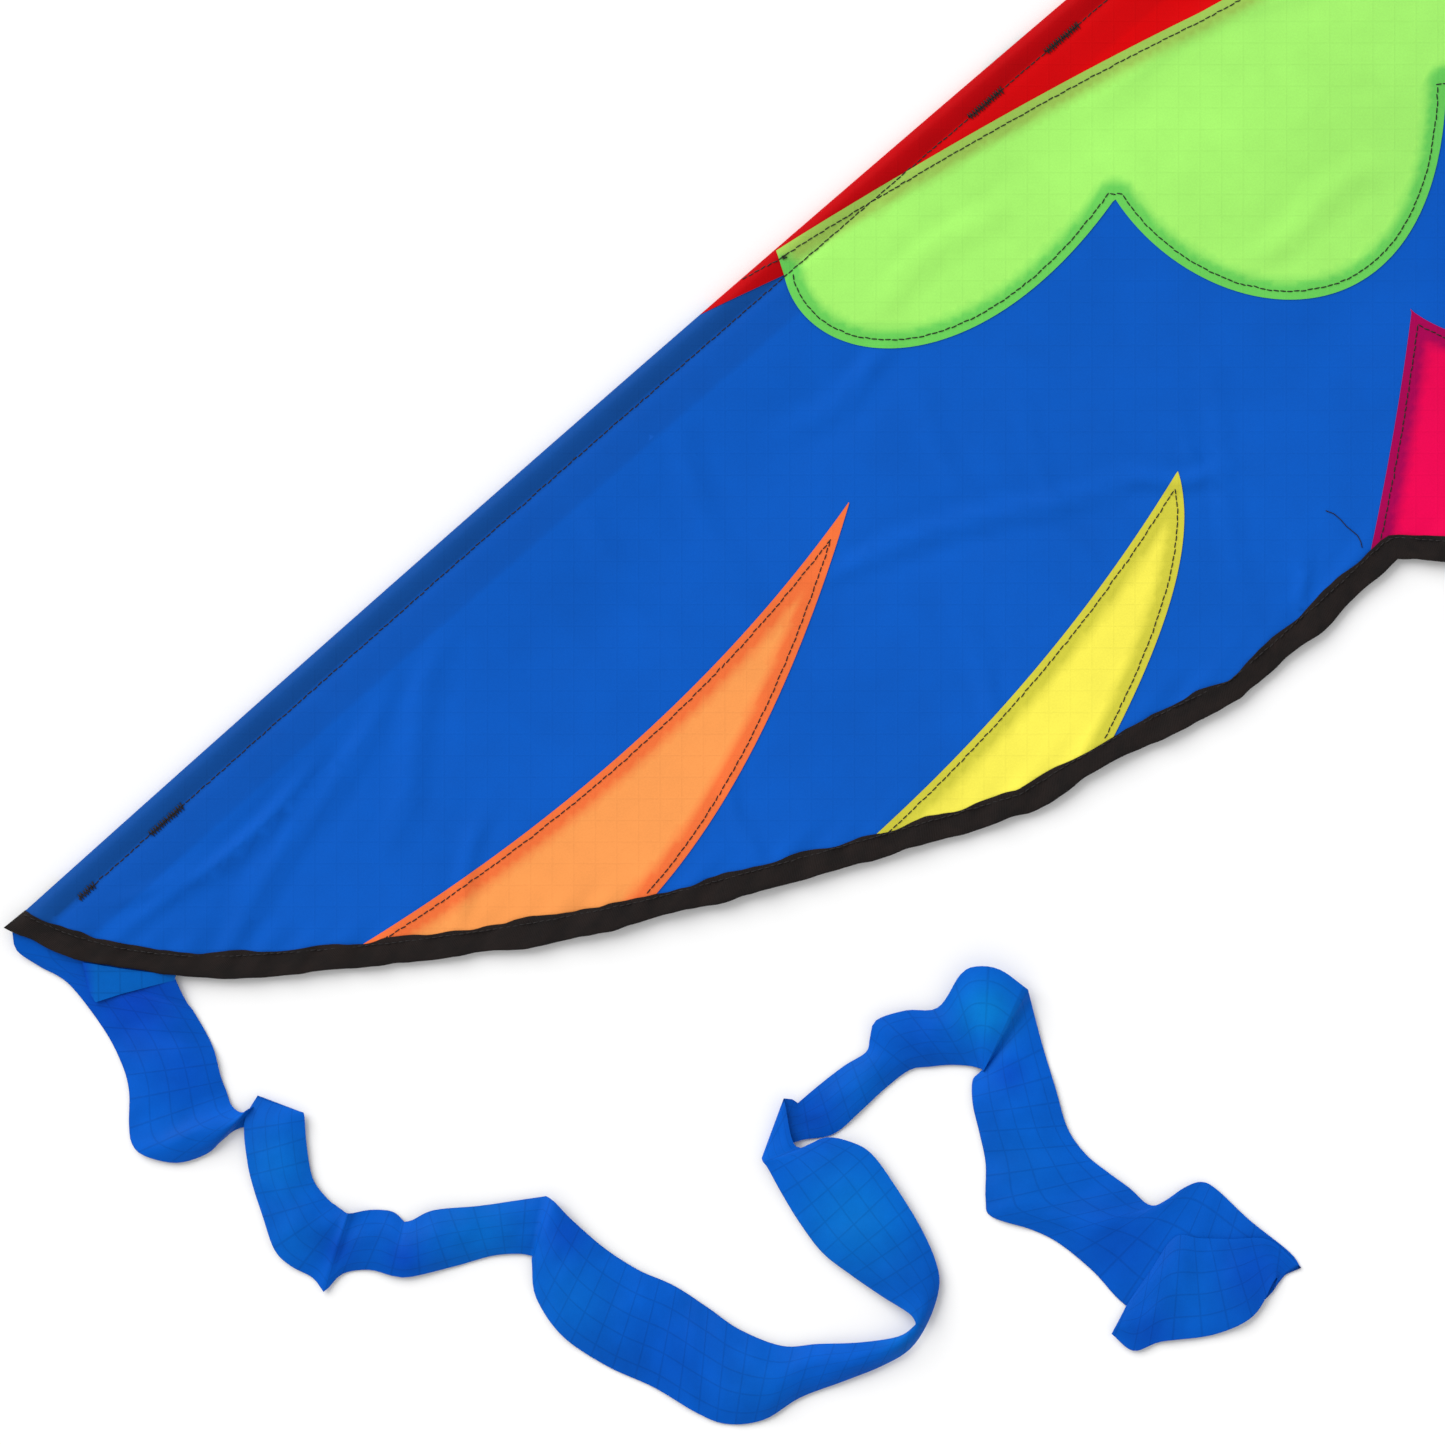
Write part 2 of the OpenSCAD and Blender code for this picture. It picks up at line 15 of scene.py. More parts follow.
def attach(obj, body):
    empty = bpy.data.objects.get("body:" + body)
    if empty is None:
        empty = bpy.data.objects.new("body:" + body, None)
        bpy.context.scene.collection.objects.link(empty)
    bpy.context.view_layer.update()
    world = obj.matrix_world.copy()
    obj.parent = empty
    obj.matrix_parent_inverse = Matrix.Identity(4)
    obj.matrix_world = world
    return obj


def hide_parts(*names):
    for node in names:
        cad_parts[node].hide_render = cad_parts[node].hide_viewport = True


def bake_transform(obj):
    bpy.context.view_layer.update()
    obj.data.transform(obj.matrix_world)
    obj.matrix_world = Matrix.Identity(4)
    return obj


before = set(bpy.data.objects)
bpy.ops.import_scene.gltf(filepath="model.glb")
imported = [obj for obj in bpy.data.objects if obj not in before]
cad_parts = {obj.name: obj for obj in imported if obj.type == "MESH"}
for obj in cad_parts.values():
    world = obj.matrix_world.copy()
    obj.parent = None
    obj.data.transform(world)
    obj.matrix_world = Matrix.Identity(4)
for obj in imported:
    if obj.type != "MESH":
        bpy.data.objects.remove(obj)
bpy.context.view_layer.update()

MM = 0.001
SHIFT_Y = 4.9
SIDES = (("left", -1), ("right", 1))

# ---------------------------------------------------------------- outlines


def bow(a, b, c, n=24):
    t = np.linspace(0, 1, n + 1)[:, None]
    a, b, c = (np.array(p, float) for p in (a, b, c))
    return a * (1 - t) ** 2 + 2 * b * t * (1 - t) + c * t * t


def arch(a, b, c, d, n=48):
    t = np.linspace(0, 1, n + 1)[:, None]
    a, b, c, d = (np.array(p, float) for p in (a, b, c, d))
    return a * (1 - t) ** 3 + 3 * b * t * (1 - t) ** 2 + 3 * c * t * t * (1 - t) + d * t**3


def chain(*paths):
    """Paths joined end to start."""
    return np.concatenate([paths[0]] + [p[1:] if np.allclose(p[0], q[-1]) else p for q, p in zip(paths, paths[1:])])


def along(path):
    """Distance along a path at each of its points."""
    return np.concatenate([[0], np.cumsum(np.linalg.norm(np.diff(path, axis=0), axis=1))])


def at_lengths(path, s, at):
    """A path's points at given distances along it. s is along(path)."""
    return np.stack([np.interp(at, s, path[:, k]) for k in range(path.shape[1])], axis=1)


def spaced(path, step):
    """The path again, with points about step apart."""
    s = along(path)
    return at_lengths(path, s, np.linspace(0, s[-1], max(2, int(round(s[-1] / step)) + 1)))


def part_of(path, s0, s1):
    """The stretch of a path between two distances along it."""
    s = along(path)
    return at_lengths(path, s, np.concatenate([[s0], s[(s > s0) & (s < s1)], [s1]]))


def unit(run):
    """Directions, each scaled to length 1."""
    return run / np.maximum(np.linalg.norm(run, axis=1), 1e-9)[:, None]


def rights(path):
    """At each point of a path, the direction to its right."""
    run = unit(np.gradient(path, axis=0))
    return np.stack([run[:, 1], -run[:, 0]], axis=1)


def aside(path, d):
    """A smooth path moved to the right of its direction."""
    return path + rights(path) * d


def crossing(a, b):
    """Where two paths cross: the segment of each and the point, or None."""
    p, r = a[:-1, None], (a[1:] - a[:-1])[:, None]
    q, s = b[None, :-1], (b[1:] - b[:-1])[None]
    cross = r[..., 0] * s[..., 1] - r[..., 1] * s[..., 0]
    cross = np.where(np.abs(cross) < 1e-12, 1e-12, cross)
    w = q - p
    t = (w[..., 0] * s[..., 1] - w[..., 1] * s[..., 0]) / cross
    k = (w[..., 0] * r[..., 1] - w[..., 1] * r[..., 0]) / cross
    hit = np.argwhere((t >= 0) & (t <= 1) & (k >= 0) & (k <= 1))
    if not len(hit):
        return None
    i, j = hit[0]
    return i, j, a[i] + (a[i + 1] - a[i]) * t[i, j]


def joined(a, b):
    """Two paths trimmed where they cross, or joined end to start."""
    hit = crossing(a, b)
    if hit is None:
        return chain(a, b)
    i, j, point = hit
    return np.concatenate([a[: i + 1], [point], b[j + 1 :]])


def moved(arcs, d):
    """Smooth arcs that meet in corners, all moved sideways, with the corners trimmed."""
    out = aside(arcs[0], d)
    for arc in arcs[1:]:
        out = joined(out, aside(arc, d))
    return out


# The leading edge: y at the nose, its slope there and how fast it steepens. Then where it ends.
NOSE_Y, EDGE_SLOPE, EDGE_CURVE = 466, 0.8277, 0.0000447
TIP_U = 803


def edge_y(u):
    return NOSE_Y - EDGE_SLOPE * u - EDGE_CURVE * u * u


LEADING = np.array([[u, edge_y(u)] for u in np.linspace(0, TIP_U, 160)])
TRAILING_ARCS = [
    chain(bow([0, -50], [60, -46], [106, -42])),
    chain(
        bow([106, -42], [140, -74], [184, -112]),
        bow([184, -112], [245, -140], [291, -170]),
        bow([291, -170], [385, -198], [479, -223]),
        bow([479, -223], [570, -244], [680, -251]),
        bow([680, -251], [754, -255], [803, -226.5]),
    ),
]
TRAILING = chain(*TRAILING_ARCS)
GREEN_TOP = chain(bow([0, 332], [110, 284], [205, 231]), bow([205, 231], [300, 185], [417, 112]))
SCALLOP_ARCS = [
    arch([0, 112], [45, 112], [74, 140], [82, 195]),
    arch([82, 195], [85, 52], [205, 72], [247.5, 138]),
    arch([247.5, 138], [318, 38], [404, 52], [413, 100]),
]
SCALLOPS = chain(*SCALLOP_ARCS)
GREEN_END = np.array([[417, 112], [413, 100]], float)
RED_RAW = np.array([[404, 104], [455, edge_y(455)]], float)
ORANGE_ARCS = [bow([670, -262], [482, -158], [380, -13], 40), bow([380, -13], [429, -179], [512, -243], 40)]
YELLOW_ARCS = [bow([410, -217], [289, -119], [216, 2], 40), arch([216, 2], [206, -30], [218, -80], [266, -164], 40)]
PINK_ARCS = [bow([127, -72], [108, 10], [99, 82]), bow([99, 82], [70, 60], [0, 62])]

# Widths across the cloth, and rows of net points beside the spine and beside the leading edge, in millimetres.
SEAM_LAP = 10
STITCH_IN = 4.2
TAPE_WIDTH = 12.5
SLEEVE = 13.5
HEM = 32
RIDGE_ROWS = (1.3, 2.6, 4.2, 6, 8, 9.5, 11.6, 13.5, 16)
EDGE_ROWS = (0.25, 0.9, 2, 3.5, 5.2, 7.5, 10, 12, 13.5, 15.5, 19, 24, 31, 33.5)


def distance(points, path):
    """How far each point is from a path."""
    out = np.empty(len(points))
    a, d = path[:-1], path[1:] - path[:-1]
    size = np.maximum((d * d).sum(1), 1e-12)
    for i in range(0, len(points), 3000):
        p = points[i : i + 3000, None]
        t = np.clip(((p - a) * d).sum(2) / size, 0, 1)
        out[i : i + 3000] = np.linalg.norm(p - a - t[..., None] * d, axis=2).min(1)
    return out


def inside(points, outline):
    """Which points lie inside a closed outline."""
    x, y = points[:, 0], points[:, 1]
    hit = np.zeros(len(points), bool)
    for (x0, y0), (x1, y1) in zip(outline, np.roll(outline, -1, axis=0)):
        if y0 != y1:
            hit ^= ((y0 > y) != (y1 > y)) & (x < (x1 - x0) * (y - y0) / (y1 - y0) + x0)
    return hit


def graph(path, u):
    return np.interp(u, path[:, 0], path[:, 1])


def ramp(x, a, b):
    """0 before a, 1 after b, smooth between."""
    t = np.clip((np.asarray(x, float) - a) / (b - a), 0, 1)
    return t * t * (3 - 2 * t)


# ---------------------------------------------------------------- how the cloth lies

PANEL_Z = 6.85
# Soft creases in the sail: two ends, width and height, in millimetres.
CREASES = (
    (380, -46, 250, -4, 7, 0.9),
    (250, -4, 190, 2, 6, 0.6),
    (345, 30, 300, -40, 8, 0.7),
    (300, 40, 262, -40, 5, 0.6),
    (235, 52, 205, 10, 5, 0.5),
    (205, 60, 180, -60, 6, 0.5),
    (330, -60, 300, -130, 7, 0.5),
    (160, -20, 150, -70, 5, 0.5),
    (650, -150, 735, -226, 6, 1.1),
    (620, -120, 690, -238, 8, 0.9),
    (700, -190, 768, -222, 5, 0.8),
    (585, -90, 610, -180, 9, 0.8),
    (520, -20, 470, -70, 10, 0.8),
    (470, 20, 430, -60, 9, 0.7),
    (560, -170, 585, -235, 7, 0.6),
    (440, -150, 425, -205, 6, 0.5),
    (360, 60, 410, 20, 8, 0.6),
    (150, 250, 260, 190, 12, 0.8),
    (60, 330, 190, 262, 14, 0.8),
    (300, 140, 360, 90, 9, 0.6),
    (120, 150, 180, 110, 9, 0.6),
)
ROD_Y = 210


def ridge(u):
    """Rise of the sail over the spine rod."""
    return 4.25 * (1 - ramp(np.abs(u), 1.6, 9.2))


def rolled(d):
    """How far the sail drops as it turns round the leading edge, d from it."""
    t = np.clip(1 - d / 4.5, 0, 1)
    return 3.4 * (1 - np.sqrt(np.maximum(1 - t * t, 0)))


def lie(points, side):
    """Height of the sail's lower layer at each point, in millimetres."""
    u, y = points[:, 0], points[:, 1]
    d_edge = distance(points, LEADING)
    d_trail = distance(points, TRAILING)
    wave = np.array([
        1.5 * noise.noise(Vector((a / 130, b / 130, 3.1 * side)))
        + 0.55 * noise.noise(Vector((a / 38, b / 38, 7.7 * side)))
        for a, b in points
    ])
    for x0, y0, x1, y1, width, height in CREASES:
        a, run = np.array([x0, y0], float), np.array([x1 - x0, y1 - y0], float)
        t = ((points - a) @ run) / (run @ run)
        off = ((points - a) @ np.array([run[1], -run[0]])) / np.linalg.norm(run)
        off = off + 3.5 * np.sin(t * 5 + x0)
        k = np.exp(-((off / width) ** 2))
        wave += 1.7 * height * (1 - 2 * (off / width) ** 2) * k * ramp(t, -0.25, 0.3) * (1 - ramp(t, 0.7, 1.25))
    # the sail hangs a little between its rods and its trailing edge
    sag = 2.2 * ramp(d_edge, 25, 90) * ramp(u, 30, 120) * (1 - ramp(y, 60, 160))
    wave = wave * ramp(d_edge, 14, 55) * ramp(u, 13, 45) - sag
    # it can't sink through the spreader
    over_rod = (1 - ramp(np.abs(y - ROD_Y), 8, 40)) * (1 - ramp(u, 300, 330))
    wave = np.where(wave < 0, wave * (1 - 0.8 * over_rod), wave)
    # gathered by the tape's stitching
    s = u + 0.6 * y
    ruffle = 0.35 * np.sin(s / 3.1) + 0.3 * np.sin(s / 5.3 + 1.3)
    wave += ruffle * (1 - ramp(d_trail, 11, 30)) * ramp(u, 20, 60)
    crown = 0.9 * np.exp(-(((d_edge - 5) / 4) ** 2)) - 0.7 * np.exp(-(((d_edge - 13.5) / 2.2) ** 2))
    crown = crown * ramp(u, 16, 40)
    return PANEL_Z + wave + ridge(u) + crown - rolled(d_edge) * ramp(u, 4, 16)


# ---------------------------------------------------------------- meshes


def place(points, side):
    """Points (u, y, z) in drawn millimetres, as positions in the frame."""
    p = np.array(points, float)
    return np.stack([side * p[:, 0] * MM, (p[:, 1] + SHIFT_Y) * MM, p[:, 2] * MM], axis=1)


# How thick each kind of cloth is, in millimetres.
SAIL_THICK, RIBBON_THICK, LINING_THICK = 0.22, 0.18, 0.2
TAPE_THICK, RIM_THICK, WEBBING_THICK = 0.3, 0.25, 0.35


def build(name, points, faces, material, side=1, flat=None, tint=None, solid=0.0):
    """A mesh object from points in drawn millimetres.

    flat gives each point's place on the flat cloth and solid the cloth's thickness, both in millimetres.
    """
    mesh = bpy.data.meshes.new(name)
    turned = [tuple(reversed(f)) for f in faces] if side < 0 else [tuple(f) for f in faces]
    mesh.from_pydata(place(points, side).tolist(), [], turned)
    if flat is not None:
        layer = mesh.uv_layers.new(name="cloth")
        loops = np.empty(len(mesh.loops), np.int32)
        mesh.loops.foreach_get("vertex_index", loops)
        layer.data.foreach_set("uv", (np.array(flat, float)[loops] * MM).astype(np.float32).ravel())
    colours = np.ones((len(mesh.vertices), 4), np.float32)
    if tint is not None:
        colours[:, :3] = tint
    mesh.attributes.new("tint", "FLOAT_COLOR", "POINT").data.foreach_set("color", colours.ravel())
    mesh.polygons.foreach_set("use_smooth", np.ones(len(mesh.polygons), bool))
    # the cut edge stays crisp instead of shading round
    uses = np.empty(len(mesh.loops), np.int32)
    mesh.loops.foreach_get("edge_index", uses)
    border = np.bincount(uses, minlength=len(mesh.edges)) == 1
    mesh.attributes.new("sharp_edge", "BOOLEAN", "EDGE").data.foreach_set("value", border)
    obj = bpy.data.objects.new(name, mesh)
    bpy.context.scene.collection.objects.link(obj)
    obj.data.materials.append(material)
    if solid:
        thick = obj.modifiers.new("cloth", "SOLIDIFY")
        thick.thickness, thick.offset = solid * MM, -1
    mesh.update()
    return obj


def strip(rows):
    """Quads between rows of points, each row with the same number of points."""
    m, n = rows.shape[:2]
    faces = []
    for i in range(m - 1):
        for a in range(i * n, i * n + n - 1):
            faces.append((a, a + 1, a + 1 + n, a + n))
    return rows.reshape(-1, rows.shape[2]), faces


def laid(lengths, widths):
    """Places on the flat cloth for a grid of points, one row of points for each length."""
    return np.array([[[x, a] for a in widths] for x in lengths]).reshape(-1, 2)


def net_start(paths):
    """The points of several paths, and the edges between them."""
    points, edges = [], []
    for p in paths:
        start = len(points)
        points += [Vector(q) for q in p]
        edges += [(start + i, start + i + 1) for i in range(len(p) - 1)]
    return points, edges


def triangulated(points, edges):
    out = delaunay_2d_cdt(points, edges, [], 0, 1e-3)
    return np.array([tuple(v) for v in out[0]], float), np.array([f for f in out[2] if len(f) == 3], int)


# ---------------------------------------------------------------- materials


def linear(*rgb):
    """Screen colour, 0 to 255, as scene light."""
    return [((c / 255 + 0.055) / 1.055) ** 2.4 if c > 10.3 else c / 255 / 12.92 for c in rgb]


# Base colours are divided by this, because the lamps here show a colour brighter than its own.
LIGHT = 1.12


class Graph:
    """A material's nodes, added one at a time."""

    def __init__(self, name):
        self.material = bpy.data.materials.new(name)
        self.material.use_nodes = True
        self.tree = self.material.node_tree
        self.shader = next(n for n in self.tree.nodes if n.type == "BSDF_PRINCIPLED")

    def node(self, kind, **settings):
        n = self.tree.nodes.new(kind)
        for key, value in settings.items():
            setattr(n, key, value)
        return n

    def put(self, socket, value):
        if isinstance(value, bpy.types.NodeSocket):
            self.tree.links.new(value, socket)
        else:
            socket.default_value = value

    def math(self, operation, *values):
        n = self.node("ShaderNodeMath", operation=operation)
        for socket, value in zip(n.inputs, values):
            self.put(socket, value)
        return n.outputs[0]

    def noise(self, where, scale, detail=3.0, roughness=0.55):
        n = self.node("ShaderNodeTexNoise")
        self.put(n.inputs["Vector"], where)
        n.inputs["Scale"].default_value = scale
        n.inputs["Detail"].default_value = detail
        n.inputs["Roughness"].default_value = roughness
        return n.outputs[0]

    def span(self, value, a, b, c=0.0, d=1.0):
        n = self.node("ShaderNodeMapRange")
        for socket, v in zip(n.inputs, (value, a, b, c, d)):
            self.put(socket, v)
        return n.outputs[0]

    def threads(self, across, pitch):
        """Fine parallel threads, pitch metres apart."""
        return self.math("SINE", self.math("MULTIPLY", across, 2 * math.pi / pitch))

    def cloth_map(self):
        """The place on the flat cloth, and its two axes apart."""
        uv = self.node("ShaderNodeUVMap", uv_map="cloth").outputs[0]
        parts = self.node("ShaderNodeSeparateXYZ")
        self.put(parts.inputs[0], uv)
        return uv, parts.outputs[:2]

    def grey(self, value):
        n = self.node("ShaderNodeCombineColor")
        for socket in n.inputs:
            self.put(socket, value)
        return n.outputs[0]

    def times(self, a, b):
        """Two colours multiplied."""
        return self.between(1.0, a, b, "MULTIPLY")

    def between(self, factor, a, b, blend="MIX"):
        n = self.node("ShaderNodeMix", data_type="RGBA", blend_type=blend)
        self.put(n.inputs["Factor"], factor)
        sockets = [s for s in n.inputs if s.type == "RGBA"]
        self.put(sockets[0], a)
        self.put(sockets[1], b)
        return next(s for s in n.outputs if s.type == "RGBA")

    def bump(self, height, distance, strength=1.0):
        n = self.node("ShaderNodeBump")
        n.inputs["Strength"].default_value = strength
        n.inputs["Distance"].default_value = distance
        self.put(n.inputs["Height"], height)
        self.put(self.shader.inputs["Normal"], n.outputs[0])

    def surface(self, colour, roughness, **values):
        """The shader's colour and roughness, and plain values for its other sockets."""
        self.put(self.shader.inputs["Base Color"], colour)
        self.put(self.shader.inputs["Roughness"], roughness)
        for key, value in values.items():
            self.shader.inputs[key.replace("_", " ")].default_value = value


def cloth_material(name, rgb, grid=0.03, vary=0.05, rough=0.62, shine=0.05):
    """Ripstop nylon: fine weave, a faint square grid of thicker threads, and uneven dye."""
    g = Graph(name)
    uv, axes = g.cloth_map()
    weave = g.math("MULTIPLY", *(g.threads(axis, 0.00045) for axis in axes))
    lines = []
    for axis in axes:
        cell = g.math("FRACT", g.math("DIVIDE", axis, 0.0108))
        lines.append(g.math("ABSOLUTE", g.math("SUBTRACT", cell, 0.5)))
    rib = g.span(g.math("MAXIMUM", *lines), 0.44, 0.5)
    broad, middle, fine = g.noise(uv, 9, 3), g.noise(uv, 60, 4), g.noise(uv, 1100, 2)
    base = [c * LIGHT**-1 for c in linear(*rgb)] + [1]
    shade = g.span(broad, 0.3, 0.7, 1 - vary, 1 + vary)
    shade = g.math("ADD", shade, g.span(middle, 0.3, 0.7, -vary * 0.5, vary * 0.5))
    shade = g.math("ADD", shade, g.span(fine, 0.3, 0.7, -0.03, 0.03))
    shade = g.math("MULTIPLY", shade, g.math("SUBTRACT", 1.0, g.math("MULTIPLY", rib, grid)))
    tint = g.node("ShaderNodeAttribute", attribute_name="tint").outputs["Color"]
    colour = g.times(g.times(tint, base), g.grey(shade))
    g.surface(colour, g.span(middle, 0.3, 0.7, rough - 0.06, rough + 0.06), Specular_IOR_Level=shine)
    height = g.math("ADD", g.math("MULTIPLY", weave, 0.25), g.math("MULTIPLY", rib, 0.9))
    g.bump(g.math("ADD", height, g.math("MULTIPLY", middle, 3.0)), 0.00006, 0.8)
    return g.material


def tape_material():
    """Black woven binding: ribbed across, with paler mottling."""
    g = Graph("black_tape")
    uv, axes = g.cloth_map()
    rib, weft = g.threads(axes[0], 0.0009), g.threads(axes[1], 0.0005)
    mottle, fine = g.noise(uv, 90, 4), g.noise(uv, 1500, 2)
    colour = g.between(g.span(mottle, 0.35, 0.7), linear(18, 13, 12) + [1], linear(35, 27, 25) + [1])
    colour = g.times(colour, g.grey(g.span(fine, 0.25, 0.75, 0.8, 1.2)))
    g.surface(colour, g.span(mottle, 0.3, 0.7, 0.7, 0.85), Specular_IOR_Level=0.2)
    height = g.math("MULTIPLY", rib, g.math("ADD", 1.2, weft))
    g.bump(g.math("ADD", height, g.math("MULTIPLY", mottle, 4.0)), 0.00007, 0.9)
    return g.material


def thread_material():
    """Black polyester thread, twisted."""
    g = Graph("black_thread")
    where = g.node("ShaderNodeTexCoord").outputs["Object"]
    twist = g.noise(where, 2600, 2)
    colour = g.between(g.span(twist, 0.35, 0.65), linear(14, 12, 12) + [1], linear(38, 33, 33) + [1])
    g.surface(colour, g.span(twist, 0.3, 0.7, 0.45, 0.65), Specular_IOR_Level=0.3)
    g.bump(twist, 0.00008, 0.8)
    return g.material


def plain_material(name, dark, light, scale, rough, stretch=(1, 1, 1), **sockets):
    """A smooth hard finish with streaks or mottling."""
    g = Graph(name)
    where = g.node("ShaderNodeTexCoord").outputs["Object"]
    shaped = g.node("ShaderNodeMapping")
    g.put(shaped.inputs["Vector"], where)
    shaped.inputs["Scale"].default_value = stretch
    streak = g.noise(shaped.outputs[0], scale, 4)
    fine = g.noise(where, 1800, 2)
    colour = g.between(g.span(streak, 0.3, 0.7), linear(*dark) + [1], linear(*light) + [1])
    g.surface(colour, g.span(streak, 0.3, 0.7, rough - 0.07, rough + 0.1), **sockets)
    g.bump(g.math("ADD", streak, g.math("MULTIPLY", fine, 0.5)), 0.00004, 0.6)
    return g.material


DYES = {"red": (220, 1, 6), "green": (170, 248, 112), "blue": (9, 91, 196), "orange": (255, 161, 86),
        "yellow": (255, 244, 88), "pink": (243, 2, 84)}
CLOTH = {name: cloth_material(name + "_cloth", rgb) for name, rgb in DYES.items()}
CLOTH["streamer"] = cloth_material("streamer_cloth", (0, 90, 198), grid=0.18, vary=0.14, rough=0.5, shine=0.06)
TAPE = tape_material()
THREAD = thread_material()
ROD = plain_material("carbon_rod", (16, 16, 18), (44, 44, 47), 240, 0.34, (0.05, 1, 1), Specular_IOR_Level=0.5)
VINYL = plain_material("black_vinyl", (18, 18, 19), (40, 39, 40), 120, 0.5, Specular_IOR_Level=0.4)
BRASS = plain_material("brass", (176, 139, 72), (226, 196, 128), 300, 0.3, Metallic=1.0)

# What a layer lying behind does to the colour in front of it.
BEHIND = {
    "green_on_blue": (0.38, 0.70, 0.66),
    "green_on_red": (0.84, 0.60, 0.58),
    "orange": (0.93, 0.50, 0.50),
    "yellow": (0.67, 0.70, 0.57),
    "pink": (0.46, 1.0, 1.0),
    "red_sleeve": (0.69, 1.6, 1.6),
    "red_hem": (0.90, 1.1, 1.1),
    "blue_sleeve": (1.9, 0.69, 0.58),
    "blue_hem": (1.15, 0.87, 0.86),
    "red_on_blue": (0.72, 1.2, 2.0),
}


def tinted(points, *parts):
    """Colour factors: each part is (name of what lies behind, how much of it there, 0 to 1)."""
    out = np.ones((len(points), 3))
    for name, amount in parts:
        out *= 1 + (np.array(BEHIND[name]) - 1) * np.clip(amount, 0, 1)[:, None]
    return out


# ---------------------------------------------------------------- camera, light and floor

# The view takes in 722.5 mm of the left wing, straight from above.
VIEW_WIDTH = 0.7225
VIEW_CENTRE = (-0.44375, -0.1191)
camera = bpy.data.objects.new("camera", bpy.data.cameras.new("camera"))
camera.data.lens, camera.data.sensor_width = 200, 36
camera.location = (*VIEW_CENTRE, 0.007 + VIEW_WIDTH * camera.data.lens / camera.data.sensor_width)
camera.data.clip_end = 100
bpy.context.scene.collection.objects.link(camera)
bpy.context.scene.camera = camera

world = bpy.data.worlds.new("studio")
world.use_nodes = True
background = next(n for n in world.node_tree.nodes if n.type == "BACKGROUND")
background.inputs["Color"].default_value = (1, 1, 1, 1)
background.inputs["Strength"].default_value = 0.65
bpy.context.scene.world = world
sun = bpy.data.objects.new("softbox", bpy.data.lights.new("softbox", "SUN"))
sun.data.energy, sun.data.angle = 2.35, math.radians(50)
sun.rotation_euler = (math.radians(-34), math.radians(-42), 0)
bpy.context.scene.collection.objects.link(sun)
bpy.context.scene.view_settings.view_transform = "Standard"

FLOOR_RADIUS, FLOOR_Z = 30, -0.0006
floor_mesh = bpy.data.meshes.new("floor")
ring = [(FLOOR_RADIUS * math.cos(a), FLOOR_RADIUS * math.sin(a), FLOOR_Z)
        for a in np.linspace(0, 2 * math.pi, 64, endpoint=False)]
floor_mesh.from_pydata(ring, [], [tuple(range(64))])
floor = bpy.data.objects.new("floor", floor_mesh)
bpy.context.scene.collection.objects.link(floor)
paper = Graph("floor_paper")
speckle = paper.noise(paper.node("ShaderNodeTexCoord").outputs["Object"], 3)
paper.surface(paper.between(speckle, (0.93, 0.93, 0.93, 1), (0.95, 0.95, 0.95, 1)), 0.9, Specular_IOR_Level=0.1)
floor.data.materials.append(paper.material)

# ---------------------------------------------------------------- one flat net for a whole wing

ORANGE_HOLE = moved(ORANGE_ARCS, -SEAM_LAP)
YELLOW_HOLE = moved(YELLOW_ARCS, -SEAM_LAP)
PINK_HOLE = moved(PINK_ARCS, -SEAM_LAP)
SCALLOP_LAP = moved(SCALLOP_ARCS, -SEAM_LAP)
TOP_LAP = aside(GREEN_TOP, SEAM_LAP)
ORANGE, YELLOW, PINK = chain(*ORANGE_ARCS), chain(*YELLOW_ARCS), chain(*PINK_ARCS)


def closed_below(path):
    """A feather's two edges, closed well below the sail."""
    return np.concatenate([path, [[path[-1, 0], -400], [path[0, 0], -400]]])


PINK_END = np.array([[0, -90], [127, -90]], float)
# The cloth ends inside the fold of the tape.
SAIL_EDGE = moved(TRAILING_ARCS, -2.6)


def wing_net():
    """Points and triangles that follow every seam, lap and edge of a wing."""
    lines = [GREEN_TOP, SCALLOPS, GREEN_END, RED_RAW, ORANGE, YELLOW, PINK]
    laps = [TOP_LAP, SCALLOP_LAP, ORANGE_HOLE, YELLOW_HOLE, PINK_HOLE, aside(RED_RAW, SEAM_LAP)]
    rows = [np.array([[u, -60], [u, 470]], float) for u in RIDGE_ROWS]
    rows += [part_of(aside(LEADING, d), 0, 1040 - d * 0.3) for d in EDGE_ROWS]
    rows += [moved(TRAILING_ARCS, -d) for d in (4, 9, TAPE_WIDTH + 0.5)]
    bounds = [LEADING, SAIL_EDGE, np.array([[0, -47.4], [0, 466]], float)]
    paths = [spaced(p, 2.6) for p in lines] + [spaced(p, 3.2) for p in laps]
    paths += [spaced(p, 4.5) for p in rows] + [spaced(p, 2.6) for p in bounds]
    tree = KDTree(sum(len(p) for p in paths))
    for k, q in enumerate(q for p in paths for q in p):
        tree.insert((q[0], q[1], 0), k)
    tree.balance()
    points, edges = net_start(paths)
    for step, low, high in ((3.0, 2.0, 15.0), (6.5, 15.0, 1e9)):
        ys = np.arange(-260, 470, step * 0.866)
        for i, y in enumerate(ys):
            for u in np.arange((i % 2) * step / 2 + 0.7, TIP_U, step):
                if y < edge_y(u) - 0.5 and y > graph(SAIL_EDGE, u) + 0.5:
                    d = tree.find((u, y, 0))[2]
                    if max(low, step * 0.55) < d <= high + (step if high > 100 else 0):
                        points.append(Vector((u, y)))
    return triangulated(points, edges)


NET, TRIANGLES = wing_net()
MIDDLES = NET[TRIANGLES].mean(1)
in_sail = (MIDDLES[:, 1] < edge_y(MIDDLES[:, 0])) & (MIDDLES[:, 1] > graph(SAIL_EDGE, MIDDLES[:, 0]))
in_sail &= MIDDLES[:, 0] > 0


